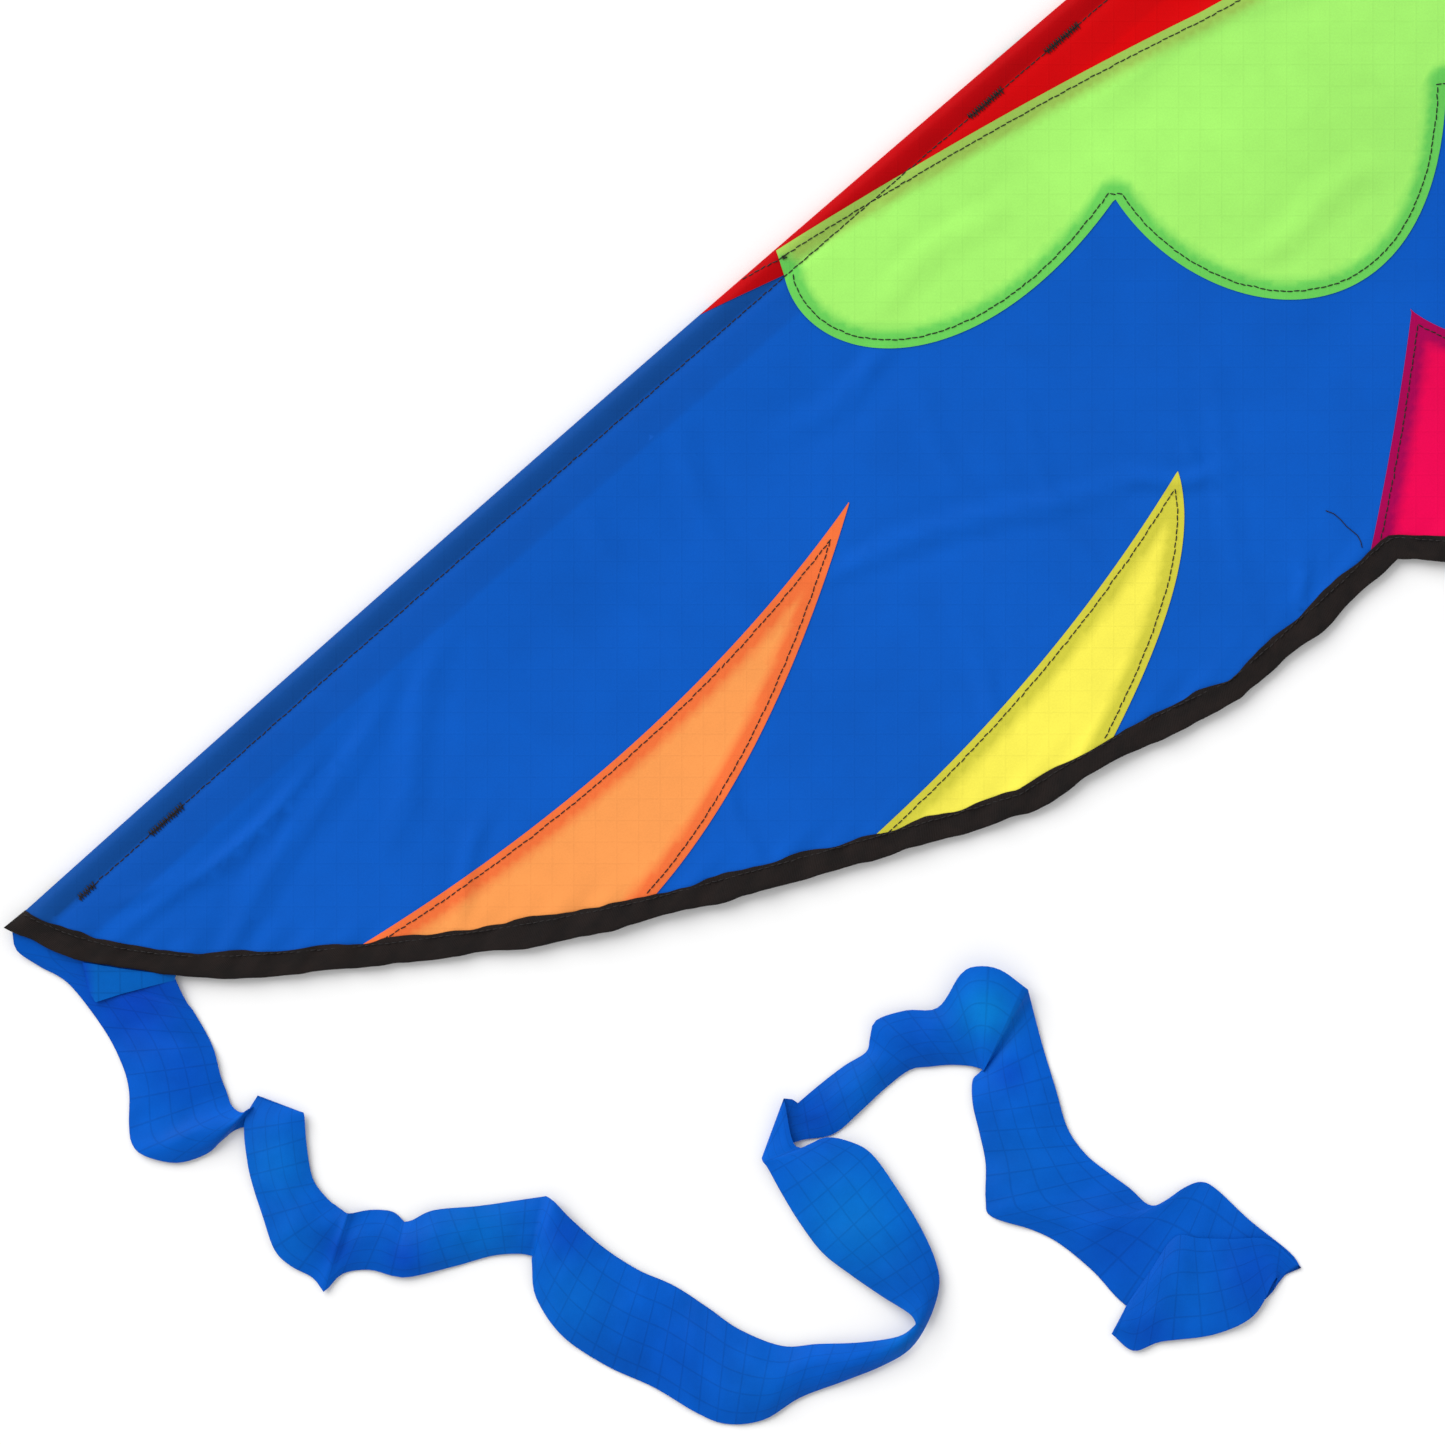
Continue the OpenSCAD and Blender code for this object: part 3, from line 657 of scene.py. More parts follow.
def red_line(u):
    """The red panel's raw end, carried on as a straight line."""
    return 104 + (edge_y(455) - 104) * (u - 404) / 51


def regions():
    """Which triangles belong to each panel, laps included."""
    u, y = MIDDLES[:, 0], MIDDLES[:, 1]
    seams = {"top": GREEN_TOP, "low": SCALLOPS, "raw": RED_RAW, "orange": ORANGE, "yellow": YELLOW, "pink": PINK}
    d = {name: distance(MIDDLES, path) for name, path in seams.items()}
    above_top, below_low = y > graph(GREEN_TOP, u), y < graph(SCALLOPS, u)
    end = u < 413 + (y - 100) / 3
    green = ~above_top & ~below_low & end
    corner = (u > 404) & (y > red_line(u))
    red = (above_top & (u < 404)) | (~above_top & (d["top"] < SEAM_LAP) & (u < 404)) | corner
    orange, yellow = inside(MIDDLES, closed_below(ORANGE)), inside(MIDDLES, closed_below(YELLOW))
    pink = inside(MIDDLES, np.concatenate([PINK, PINK_END]))
    below_raw = (u >= 404) & (y < red_line(u) + 0.01)
    blue = (below_low & (u < 413)) | ((d["low"] < SEAM_LAP) & (u < 408)) | below_raw
    blue |= (u >= 404) & (d["raw"] < SEAM_LAP)
    for name, hole in (("orange", orange), ("yellow", yellow), ("pink", pink)):
        blue &= ~(hole & (d[name] > SEAM_LAP))
    return {"red": red, "green": green, "blue": blue, "orange": orange, "yellow": yellow, "pink": pink}


REGION = {name: mask & in_sail for name, mask in regions().items()}
D_EDGE = distance(NET, LEADING)
D_TOP, D_LOW, D_RAW = distance(NET, GREEN_TOP), distance(NET, SCALLOPS), distance(NET, RED_RAW)
D_FEATHER = {"orange": distance(NET, ORANGE), "yellow": distance(NET, YELLOW), "pink": distance(NET, PINK)}
# How far one layer of cloth lies above another, in millimetres.
LAYER = 0.42


def near(d, width=SEAM_LAP, soft=4.6):
    """1 within width of something and 0 beyond, with a soft step."""
    return 1 - ramp(d, width - soft * 0.6, width + soft * 0.4)


def panel_heights(name):
    """How far a panel lies above the lower layer, and what lies behind it, at every point of the net."""
    u = NET[:, 0]
    hem, sleeve = near(D_EDGE, HEM, 3), near(D_EDGE, SLEEVE, 0.8)
    if name == "green":
        behind_low, behind_top = near(D_LOW), near(D_TOP)
        lift = LAYER * (0.25 + 0.75 * np.maximum(behind_low, behind_top)) + LAYER * ramp(u, 385, 402)
        return lift, tinted(NET, ("green_on_blue", behind_low), ("green_on_red", behind_top * (1 - behind_low)))
    if name == "red":
        lift = LAYER * ramp(u, 380, 400)
        on_blue = near(D_RAW) * ramp(u, 404, 408) * (1 - sleeve)
        return lift, tinted(NET, ("red_sleeve", sleeve), ("red_hem", hem * (1 - sleeve)), ("red_on_blue", on_blue))
    if name == "blue":
        return np.zeros(len(NET)), tinted(NET, ("blue_sleeve", sleeve), ("blue_hem", hem * (1 - sleeve)))
    behind = near(D_FEATHER[name])
    return LAYER * (0.3 + 0.7 * behind), tinted(NET, (name, behind))


STANDS_FOR = {"red": "red_panel", "green": "green_band", "blue": "blue_panel", "orange": "orange_feather",
              "yellow": "yellow_feather", "pink": "pink_tail"}
CENTRES = {"red": "centre_red", "green": "centre_green", "blue": "centre_blue", "pink": "centre_pink"}


def bend_at_fold(obj):
    """The object's placement baked into its mesh; it follows no body."""
    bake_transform(obj)


for word, side in SIDES:
    floor_of_sail = lie(NET, side)
    for name, node in STANDS_FOR.items():
        tri = TRIANGLES[REGION[name]]
        used, tri = np.unique(tri, return_inverse=True)
        tri = tri.reshape(-1, 3)
        lift, tint = panel_heights(name)
        z = floor_of_sail[used] + lift[used]
        flat = NET[used]
        a, b, c = (flat[tri[:, i]] for i in range(3))
        turn = (b - a)[:, 0] * (c - a)[:, 1] - (b - a)[:, 1] * (c - a)[:, 0]
        tri[turn < 0] = tri[turn < 0][:, ::-1]
        obj = build(f"{name}_{word}", np.column_stack([flat, z]), tri.tolist(), CLOTH[name], side, flat, tint[used],
                    solid=SAIL_THICK)
        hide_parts(f"{node}_{word}", *([CENTRES[name]] if name in CENTRES and side < 0 else []))
        if name in CENTRES:
            bend_at_fold(obj)
        else:
            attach(obj, "wing_" + word)

# ---------------------------------------------------------------- sleeves

# Distance in from the leading edge, and height.
SLEEVE_SECTION = (
    (0.0, 3.7), (0.15, 2.9), (0.6, 2.0), (1.5, 1.15), (3.0, 0.6), (5.0, 0.45), (8.0, 0.45), (10.2, 0.7), (11.8, 2.0),
    (12.7, 4.3),
)
# The same for the hem sewn to the sail, with its height measured from the sail.
FLAP_SECTION = ((13.4, -0.75), (14.5, -0.6), (20.0, -0.5), (26.0, -0.5), (31.8, -0.5))
FITTING_U, TIP_FROM, TIP_TO, SLEEVE_END, COLOUR_JOIN = 302, 741, 766, 775, 449
OPENING = 28
# Length of leading edge to a millimetre of u. It is taken as the same all along, so the blue sleeve's flat length,
# where the edge is steeper, comes out 2.7 % short and the red sleeve's 1 %.
EDGE_LENGTH = 1.298


def edge_inward(u):
    """Directions in from the leading edge and along it, at u."""
    slope = -EDGE_SLOPE - 2 * EDGE_CURVE * u
    run = np.array([1, slope]) / math.hypot(1, slope)
    return np.array([run[1], -run[0]]), run


def sleeve(word, side, name, u0, u1):
    half = OPENING / 2 * 0.77
    stops = {u0, u1, FITTING_U - half, FITTING_U + half, TIP_FROM, TIP_TO}
    us = sorted({u for u in stops if u0 <= u <= u1} | set(np.arange(u0 + 2, u1 - 2, 4.0)))
    rows = []
    for u in us:
        inward, base = edge_inward(u)[0], np.array([u, edge_y(u)])
        tube = [(base + inward * d, z + 0.15 * noise.noise(Vector((u / 20, d / 6, side))) * (0 < d))
                for d, z in SLEEVE_SECTION]
        rows.append((tube, [base + inward * d for d, _ in FLAP_SECTION]))
    sail_z = lie(np.array([q for _, hem in rows for q in hem]), side).reshape(len(rows), -1)
    grid = np.array([
        [(*p, z) for p, z in tube] + [(*p, z + dz) for p, z, (_, dz) in zip(hem, heights, FLAP_SECTION)]
        for (tube, hem), heights in zip(rows, sail_z)
    ])
    across = along(grid[len(grid) // 2])
    points, faces = strip(grid)
    first_flap = len(SLEEVE_SECTION)
    keep = []
    for f in faces:
        i, j = divmod(f[0], grid.shape[1])
        u_mid = (us[i] + us[i + 1]) / 2
        at_fitting = abs(u_mid - FITTING_U) < half and 1 <= j < first_flap
        at_tip = TIP_FROM < u_mid < TIP_TO and 6 <= j < first_flap
        u, y, _ = points[f[0]]
        off_sail = y < graph(TRAILING, u) + TAPE_WIDTH * 0.5 or u < 13.5
        if not (at_fitting or at_tip or off_sail):
            keep.append(tuple(reversed(f)))
    used = sorted({v for f in keep for v in f})
    again = {v: i for i, v in enumerate(used)}
    faces = [tuple(again[v] for v in f) for f in keep]
    colour = "red" if name == "sleeve_red" else "blue"
    tint = tinted(used, (colour + "_sleeve", np.full(len(used), 0.5)))
    flat = laid([u * EDGE_LENGTH for u in us], across)[used]
    obj = build(f"{name}_cloth_{word}", points[used], faces, CLOTH[colour], side, flat, tint, solid=SAIL_THICK)
    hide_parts(f"{name}_{word}")
    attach(obj, "wing_" + word)


for word, side in SIDES:
    sleeve(word, side, "sleeve_red", 12, COLOUR_JOIN)
    sleeve(word, side, "sleeve_blue", COLOUR_JOIN, SLEEVE_END)

# ---------------------------------------------------------------- tape folded over the trailing edge


def wander(s, seed, amount, size):
    """A smooth unevenness along s, up to amount, with waves about size long."""
    return np.array([amount * noise.noise(Vector((x / size, seed, 0.5))) for x in s])


def edge_tape(word, side, name, outer, inner, bodies):
    """outer and inner are the tape's two edges as it lies. It has a top, a fold and an underside."""
    count = int(along(outer)[-1] / 2.4)
    outer, inner = (spaced(p, along(p)[-1] / count) for p in (outer, inner))
    s = along(outer)
    ends = ramp(s, 0, 12) * (1 - ramp(s, s[-1] - 12, s[-1]))
    out = rights(outer)
    outer = outer + out * ((wander(s, 1.7 + side, 2.2, 24) + wander(s, 4.2, 0.6, 8)) * ends)[:, None]
    inner = inner + out * ((wander(s, 9.1 - side, 2.4, 22) + wander(s, 6.4, 0.7, 7)) * ends)[:, None]
    shares = (1.0, 0.97, 0.75, 0.45, 0.2, 0.07, 0.015, -0.02, 0.015, 0.07, 0.2, 0.45, 0.75, 0.97, 1.0)
    lifts = (-0.75, -0.85, -0.95, -1.0, -1.0, -0.9, -0.5, 0.15, 0.75, 1.05, 1.15, 1.15, 1.1, 1.0, 0.85)
    under = np.concatenate([outer * (1 - w) + inner * w for w in shares])
    base = lie(under, side).reshape(len(shares), -1).T
    rows = np.empty((len(s), len(shares), 3))
    for k, (w, lift) in enumerate(zip(shares, lifts)):
        rows[:, k, :2] = outer * (1 - w) + inner * w
        ripple = wander(s, 12.3 + side, 1.1, 6) + wander(s, 2.2, 0.8, 15)
        rows[:, k, 2] = base[:, k] + lift + (ripple * (0.4 + w) * 0.55 * ends if lift > 0.5 else 0)
    points, faces = strip(rows)
    around = along(rows[len(rows) // 2])
    obj = build(f"{name}_binding_{word}", points, [tuple(reversed(f)) for f in faces], TAPE, side, laid(s, around),
                solid=TAPE_THICK)
    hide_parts(f"{name}_{word}", *(["centre_tape"] if name == "tape_tail" and side < 0 else []))
    if bodies == "fold":
        bend_at_fold(obj)
    else:
        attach(obj, bodies)


INNER_TAIL = aside(TRAILING_ARCS[0], -TAPE_WIDTH)
INNER_WING = aside(TRAILING_ARCS[1], -TAPE_WIDTH)
hit = crossing(INNER_WING, LEADING)
INNER_WING = np.concatenate([INNER_WING[: hit[0] + 1], [hit[2]]]) if hit else INNER_WING
CORNER = np.array([110.5, -30.4])
INNER_TAIL = np.concatenate([INNER_TAIL[INNER_TAIL[:, 0] < CORNER[0] - 1], [CORNER]])
INNER_WING = np.concatenate([[CORNER], INNER_WING[INNER_WING[:, 0] > CORNER[0] + 3]])

for word, side in SIDES:
    edge_tape(word, side, "tape_tail", TRAILING_ARCS[0], INNER_TAIL, "fold")
    edge_tape(word, side, "tape_wing", TRAILING_ARCS[1], INNER_WING, "wing_" + word)

# ---------------------------------------------------------------- stitching

STITCH_PITCH, STITCH_LONG, STITCH_R = 3.4, 3.3, 0.33


def tube_faces(first, rings, sides):
    """Quads round a tube made of rings of points, from point number first on, and its two ends."""
    faces = []
    for k in range(rings - 1):
        for j in range(sides):
            a, b = first + k * sides + j, first + k * sides + (j + 1) % sides
            faces.append((a, b, b + sides, a + sides))
    faces.append(tuple(first + j for j in reversed(range(sides))))
    faces.append(tuple(first + (rings - 1) * sides + j for j in range(sides)))
    return faces


def dashes(path, heights, seed):
    """One short raised thread for every stitch along a path. heights(points) gives the cloth's top."""
    s = along(path)
    at = np.arange(STITCH_PITCH / 2, s[-1], STITCH_PITCH)
    centre = at_lengths(path, s, at)
    ahead = unit(at_lengths(path, s, at + 0.5) - at_lengths(path, s, at - 0.5))
    across = np.stack([ahead[:, 1], -ahead[:, 0]], axis=1)
    rng = np.random.default_rng(seed)
    centre = centre + across * rng.normal(0, 0.12, (len(centre), 1))
    top = heights(centre)
    tilt = rng.normal(0, 0.07, len(centre))
    rings = ((-0.5, 0.35, -0.28), (-0.36, 0.85, 0.02), (0, 1.0, 0.1), (0.36, 0.85, 0.02), (0.5, 0.35, -0.28))
    around = np.linspace(0, 2 * math.pi, 6, endpoint=False)
    points, faces = [], []
    for i in range(len(centre)):
        first = len(points)
        run = ahead[i] + across[i] * tilt[i]
        for t, r, drop in rings:
            mid = centre[i] + run * t * STITCH_LONG
            for a in around:
                q = mid + across[i] * math.cos(a) * r * STITCH_R
                points.append((q[0], q[1], top[i] + drop + math.sin(a) * r * STITCH_R))
        faces += tube_faces(first, len(rings), len(around))
    return points, faces


def thread(path, radius, sides=6):
    """A tube of thread along a path of (u, y, z) points."""
    path = np.array(path, float)
    points = []
    for p, d in zip(path, unit(np.gradient(path, axis=0))):
        x = np.cross(d, [0, 0, 1.0])
        x = x / max(np.linalg.norm(x), 1e-6)
        y = np.cross(x, d)
        for a in np.linspace(0, 2 * math.pi, sides, endpoint=False):
            points.append(p + (x * math.cos(a) + y * math.sin(a)) * radius)
    return points, tube_faces(0, len(path), sides)


def gathered(parts):
    """Several (points, faces) as one."""
    points, faces = [], []
    for p, f in parts:
        start = len(points)
        points += [tuple(q) for q in p]
        faces += [tuple(start + v for v in face) for face in f]
    return points, faces


def sewn_lines():
    """Every line of stitching on a wing: its path and the height of the cloth above the lower layer."""
    top = part_of(aside(GREEN_TOP, STITCH_IN), 0, along(GREEN_TOP)[-1] - 3)
    low = moved(SCALLOP_ARCS, -STITCH_IN)
    low = low[low[:, 0] < 411]
    corner = np.array([[413, 109], [434, 97.5]])
    lines = [(top, "top"), (low, "top"), (corner, "top")]
    for arcs in (ORANGE_ARCS, YELLOW_ARCS, PINK_ARCS):
        path = moved(arcs, -3.9 if arcs is PINK_ARCS else -3.5)
        ok = path[:, 1] > graph(TRAILING, path[:, 0]) + TAPE_WIDTH - 2
        lines.append((path[ok], LAYER))
    lines.append((part_of(aside(LEADING, SLEEVE), 16, 1015), "top"))
    for path in (INNER_TAIL, INNER_WING):
        lines.append((aside(path, 1.9), 1.15))
    return lines


def zigzag(u, length, side):
    """A bar tack: thread sewn to and fro across the sleeve's stitch line."""
    inward, run = edge_inward(u)
    mid = np.array([u, edge_y(u)]) + inward * SLEEVE
    count = int(length / 0.75)
    flat = np.array([mid + run * (length * (i / count - 0.5)) + inward * (1.9 if i % 2 else -1.9)
                     for i in range(count + 1)])
    rng = np.random.default_rng(int(u))
    flat += rng.normal(0, 0.12, flat.shape)
    z = lie(flat, side) + 0.35
    path = []
    for a, b, za, zb in zip(flat[:-1], flat[1:], z[:-1], z[1:]):
        for t in (0, 0.5):
            q = a * (1 - t) + b * t
            path.append((q[0], q[1], za * (1 - t) + zb * t + (0.25 if t else 0)))
    return thread(path, 0.34)


def rise(points, lift):
    """Height above the lower layer: a number, or the height of the top panel there."""
    if lift != "top":
        return lift
    u, y = points[:, 0], points[:, 1]
    on_green = (y < graph(GREEN_TOP, u)) & (y > graph(SCALLOPS, u)) & (u < 416)
    on_red = ~on_green & ((u < 404) | (y > red_line(u)))
    red = np.where(on_red, LAYER * ramp(u, 380, 400), 0)
    return 0.02 + np.where(on_green, LAYER * (1 + ramp(u, 385, 402)), red)


# The loose thread near the tail corner, and the bar tacks: u and length.
LOOSE = ((142, -18), (138, -19.5), (134.5, -22.5), (131.5, -26), (129, -28), (126, -30.5), (124.5, -33.5),
         (123.8, -36.5))
TACKS = ((FITTING_U - 19.1, 22), (FITTING_U + 19.1, 22), (731, 22), (771, 11))

for word, side in SIDES:
    parts = []
    for i, (path, lift) in enumerate(sewn_lines()):
        parts.append(dashes(spaced(path, 1.5), lambda p, lift=lift: lie(p, side) + rise(p, lift) + 0.05, 100 + i))
    knot = np.array([[411.5, 108.5], [413.5, 107.5], [412, 110], [414, 109], [412.5, 107.8]])
    parts.append(thread(np.column_stack([knot, lie(knot, side) + 2 * LAYER + 0.4]), 0.4))
    loose = spaced(np.array(LOOSE, float), 1)
    parts.append(thread(np.column_stack([loose, lie(loose, side) + 0.35]), 0.22))
    points, faces = gathered(parts)
    obj = build(f"stitching_{word}", points, faces, THREAD, side)
    bend_at_fold(obj)
    points, faces = gathered([zigzag(u, length, side) for u, length in TACKS])
    obj = build(f"bar_tack_threads_{word}", points, faces, THREAD, side)
    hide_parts("bar_tacks_" + word)
    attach(obj, "wing_" + word)

# ---------------------------------------------------------------- streamers

# Each station: the ribbon's two edges (u, y), their heights, and how far the middle stands above them.
# The ribbon turns sharply at the stations marked as creases.
RIBBON = (
    (799, -229, 720, -243, 5.6, 5.6, 0),
    (797, -238, 717.5, -252.5, 3.5, 4.4, 0),
    (786, -246, 712, -264, 1.2, 1.5, 2),
    (771, -255, 709, -268, 0.8, 1.0, 3),
    (754, -277, 702, -280, 0.6, 1.2, 4),
    (745, -294, 698, -289, 0.6, 2.0, 6),
    (741, -308, 695, -301, 0.8, 1.5, 5),
    (741, -325, 692, -309, 1.0, 1.0, 3),
    (739.5, -335, 690, -315, 1.0, 2.0, 3),
    (733, -341, 687, -318, 1.5, 4.0, 4),
    (717, -344.5, 684, -319, 1.5, 6.0, 3),
    (702, -340, 682, -318, 1.5, 7.0, 2),
    (694, -333, 680, -317, 1.5, 6.0, 1.5),
    (685, -327, 678, -316, 1.0, 3.0, 0.5),
    (668, -326, 677, -313, 0.7, 1.2, 0),
    (655, -320, 676.5, -311.3, 1.2, 1.4, 0),
    (654, -319.3, 676.5, -310.8, 2.4, 2.4, 0),
    (653, -321, 683, -324, 3.0, 3.6, 1),
    (652, -335, 681.5, -344, 2.5, 3.0, 3),
    (649, -352, 678.5, -357, 2.0, 2.0, 5),
    (642, -362, 674, -371, 2.0, 1.5, 6),
    (637, -366, 668, -388, 2.5, 1.0, 6),
    (634, -368, 660, -396, 3.5, 0.8, 4),
    (632.5, -369, 649, -402, 5.0, 1.0, 1),
    (631, -369.5, 643.5, -409, 6.5, 3.0, 0, "crease"),
    (629, -369.5, 641, -407, 4.5, 2.5, 0),
    (620, -368, 634, -400, 2.0, 1.5, 3),
    (609, -369, 621, -398, 1.5, 1.0, 4),
    (603, -374, 609, -401, 2.5, 1.5, 3, "crease"),
    (599, -373, 600, -401.5, 4.5, 1.5, 3),
    (588, -368, 577, -396, 4.0, 1.2, 5),
    (566, -366, 559, -391, 2.5, 1.0, 5),
    (545, -363, 546, -390, 2.0, 1.0, 4),
    (532, -361, 539, -391, 2.5, 1.5, 2, "crease"),
    (528, -363.5, 539, -396, 5.5, 4.0, 2),
    (519, -373, 537, -412, 4.0, 2.0, 6),
    (503, -387, 524, -431, 2.5, 1.0, 8),
    (486, -398, 502, -446, 1.5, 0.8, 7),
    (468, -406, 478, -457, 1.2, 0.8, 4),
    (451, -417, 456, -470, 1.5, 1.0, 3),
    (435, -428, 441, -475.3, 2.0, 1.2, 5),
    (414, -436, 423, -473, 2.5, 1.5, 6),
    (396, -435, 405, -462, 4.0, 1.8, 5),
    (374, -434, 384, -454, 6.0, 2.0, 4),
    (356, -431, 364, -446, 8.0, 2.5, 3),
    (348.5, -426, 350, -437.5, 9.0, 3.0, 2),
    (347.5, -423.5, 341, -424, 9.0, 4.0, 2),
    (351, -419, 335.5, -407, 8.0, 4.5, 3),
    (364, -411, 337, -394, 5.0, 4.0, 5),
    (380, -400, 345, -376, 3.0, 3.5, 7),
    (394, -389, 358, -355, 2.5, 3.5, 8),
    (406, -373, 369, -340, 2.5, 4.5, 7),
    (415, -358, 379, -334, 3.0, 5.5, 5),
    (421, -347, 392, -331.5, 4.0, 6.0, 3),
    (423.5, -343.8, 407, -336, 4.0, 6.0, 1),
    (424, -342, 413, -312, 2.8, 6.0, 0, "crease"),
    (421, -339, 409, -312.5, 1.2, 4.0, 0),
    (404, -333, 406, -314.5, 0.8, 2.0, 0, "crease"),
    (388, -330, 396, -306, 0.8, 1.5, 2),
    (375, -319, 383, -296, 1.0, 1.5, 3),
    (362, -307, 372, -289, 1.0, 2.0, 4),
    (350, -298, 370, -282, 1.2, 3.0, 3),
    (341, -296.5, 367, -273, 1.2, 5.0, 4),
    (330, -295.5, 352, -268, 1.2, 5.0, 4),
    (320, -296, 336, -266.5, 1.2, 6.0, 3),
    (314.5, -297.3, 325, -250, 2.0, 9.0, 3),
    (313.8, -297.8, 317, -245.8, 3.0, 11.0, 3),
    (313.4, -298.2, 305, -247.5, 3.5, 11.5, 3),
    (313.2, -298.5, 291, -257.5, 4.0, 9.0, 2, "crease"),
    (314, -299, 289.5, -263, 2.0, 4.0, 1),
    (318.5, -303, 284, -284, 1.2, 1.5, 4),
    (318.5, -315, 277, -307, 1.0, 1.0, 6),
    (315, -330, 271, -327, 1.0, 1.0, 6),
    (312, -345, 262, -340, 1.0, 1.2, 5),
    (312, -363, 251, -349, 0.8, 2.0, 4),
    (309, -371.5, 240, -357, 0.8, 2.5, 4),
    (289, -378, 231, -365, 0.8, 3.0, 5),
    (275, -385, 224, -364.5, 0.8, 3.0, 5),
    (258, -399, 213, -357, 0.8, 2.5, 4),
    (243, -415, 204, -354, 0.8, 2.0, 2),
    (222, -428, 196, -358, 0.8, 1.5, 2),
    (196, -428, 180, -373, 0.8, 1.0, 1),
    (171, -412, 160, -389, 1.2, 0.8, 0),
    (166, -402, 154, -397, 1.6, 1.0, 0, "crease"),
    (168, -404, 170, -383, 2.8, 2.4, 0),
    (178, -421, 190, -382.5, 2.6, 3.4, 1),
    (198, -430.5, 205, -382, 2.2, 3.6, 2),
    (224, -434, 217.5, -381.5, 2.0, 3.4, 3),
    (238, -438.5, 230, -399, 1.8, 2.4, 2),
    (249, -430, 241.5, -416, 1.5, 2.0, 1),
)


def ribbon_rows(step=3.0, across=11):
    """The ribbon as rows of points, smooth between creases."""
    data = np.array([row[:7] for row in RIBBON], float)
    sharp = [0] + [i for i, row in enumerate(RIBBON) if len(row) > 7] + [len(RIBBON) - 1]
    out = []
    for a, b in zip(sharp, sharp[1:]):
        part = data[a : b + 1]
        padded = np.concatenate([[2 * part[0] - part[1]], part, [2 * part[-1] - part[-2]]])
        for i in range(len(part) - 1):
            p0, p1, p2, p3 = padded[i : i + 4]
            gap = max(np.linalg.norm(p2[:2] - p1[:2]), np.linalg.norm(p2[2:4] - p1[2:4]))
            n = max(1, int(round(gap / step)))
            for t in np.arange(n) / n:
                bend, twist = 2 * p0 - 5 * p1 + 4 * p2 - p3, 3 * p1 - p0 - 3 * p2 + p3
                out.append(0.5 * (2 * p1 + (p2 - p0) * t + bend * t**2 + twist * t**3))
    out.append(data[-1])
    stations = np.array(out)
    v = np.linspace(0, 1, across)
    rows = np.empty((len(stations), across, 3))
    for i, (au, ay, bu, by, za, zb, bulge) in enumerate(stations):
        rows[i, :, 0] = au * (1 - v) + bu * v
        rows[i, :, 1] = ay * (1 - v) + by * v
        rows[i, :, 2] = np.maximum(za * (1 - v) + zb * v + bulge * 4 * v * (1 - v) * 0.8, 0.5)
    return rows


RIBBON_WIDTH = 50
# Painted light and shade on the streamer: lighter where its faces catch the light, darker in its shaded folds. Place,
# reach, green and blue factors.
STREAMER_LIGHT_AND_SHADE = (
    (738, -262, 26, 0.58, 0.90), (712, -300, 16, 0.85, 0.98), (722, -330, 14, 1.05, 1.02),
    (666, -345, 20, 1.35, 1.04), (660, -385, 14, 1.2, 1.03), (636, -388, 8, 0.72, 0.92),
    (603, -392, 9, 0.66, 0.88), (565, -380, 24, 1.28, 0.98), (520, -412, 22, 1.22, 1.02),
    (522, -380, 12, 0.72, 0.92), (470, -440, 22, 0.9, 0.98), (425, -455, 18, 1.12, 1.04),
    (352, -432, 14, 1.3, 1.06), (378, -372, 30, 1.62, 1.12), (398, -322, 13, 0.72, 0.9),
    (372, -305, 12, 1.1, 1.0), (345, -283, 12, 0.9, 0.98), (312, -268, 15, 1.8, 1.06),
    (300, -300, 8, 0.75, 0.94), (292, -345, 24, 1.12, 1.02), (245, -385, 22, 0.8, 0.93),
    (178, -400, 18, 0.7, 0.88), (205, -410, 18, 1.05, 0.97), (230, -430, 12, 0.75, 0.9),
)
# A corner of the ribbon's end tucked back under the tape: rows of its upper and lower edge.
TUCK = (
    ((764, -244, 5.4), (761, -259, 2.0)), ((757, -245, 6.0), (757.5, -264, 4.2)), ((745, -247, 5.6), (745, -260, 3.8)),
    ((730, -249, 5.2), (730, -256, 3.6)), ((717, -250, 4.8), (718, -253, 4.0)),
)


def painted_streamer_light_and_shade(points):
    """Painted light and shade on the streamer, as colour factors. Where green rises, red rises six times as much."""
    out = np.ones((len(points), 3))
    for u, y, reach, green, blue in STREAMER_LIGHT_AND_SHADE:
        k = np.exp(-(((points[:, 0] - u) ** 2 + (points[:, 1] - y) ** 2) / reach**2))
        out[:, 0] *= 1 + k * max(green - 1, 0) * 6
        out[:, 1] *= 1 + (green - 1) * k
        out[:, 2] *= 1 + (blue - 1) * k
    return out


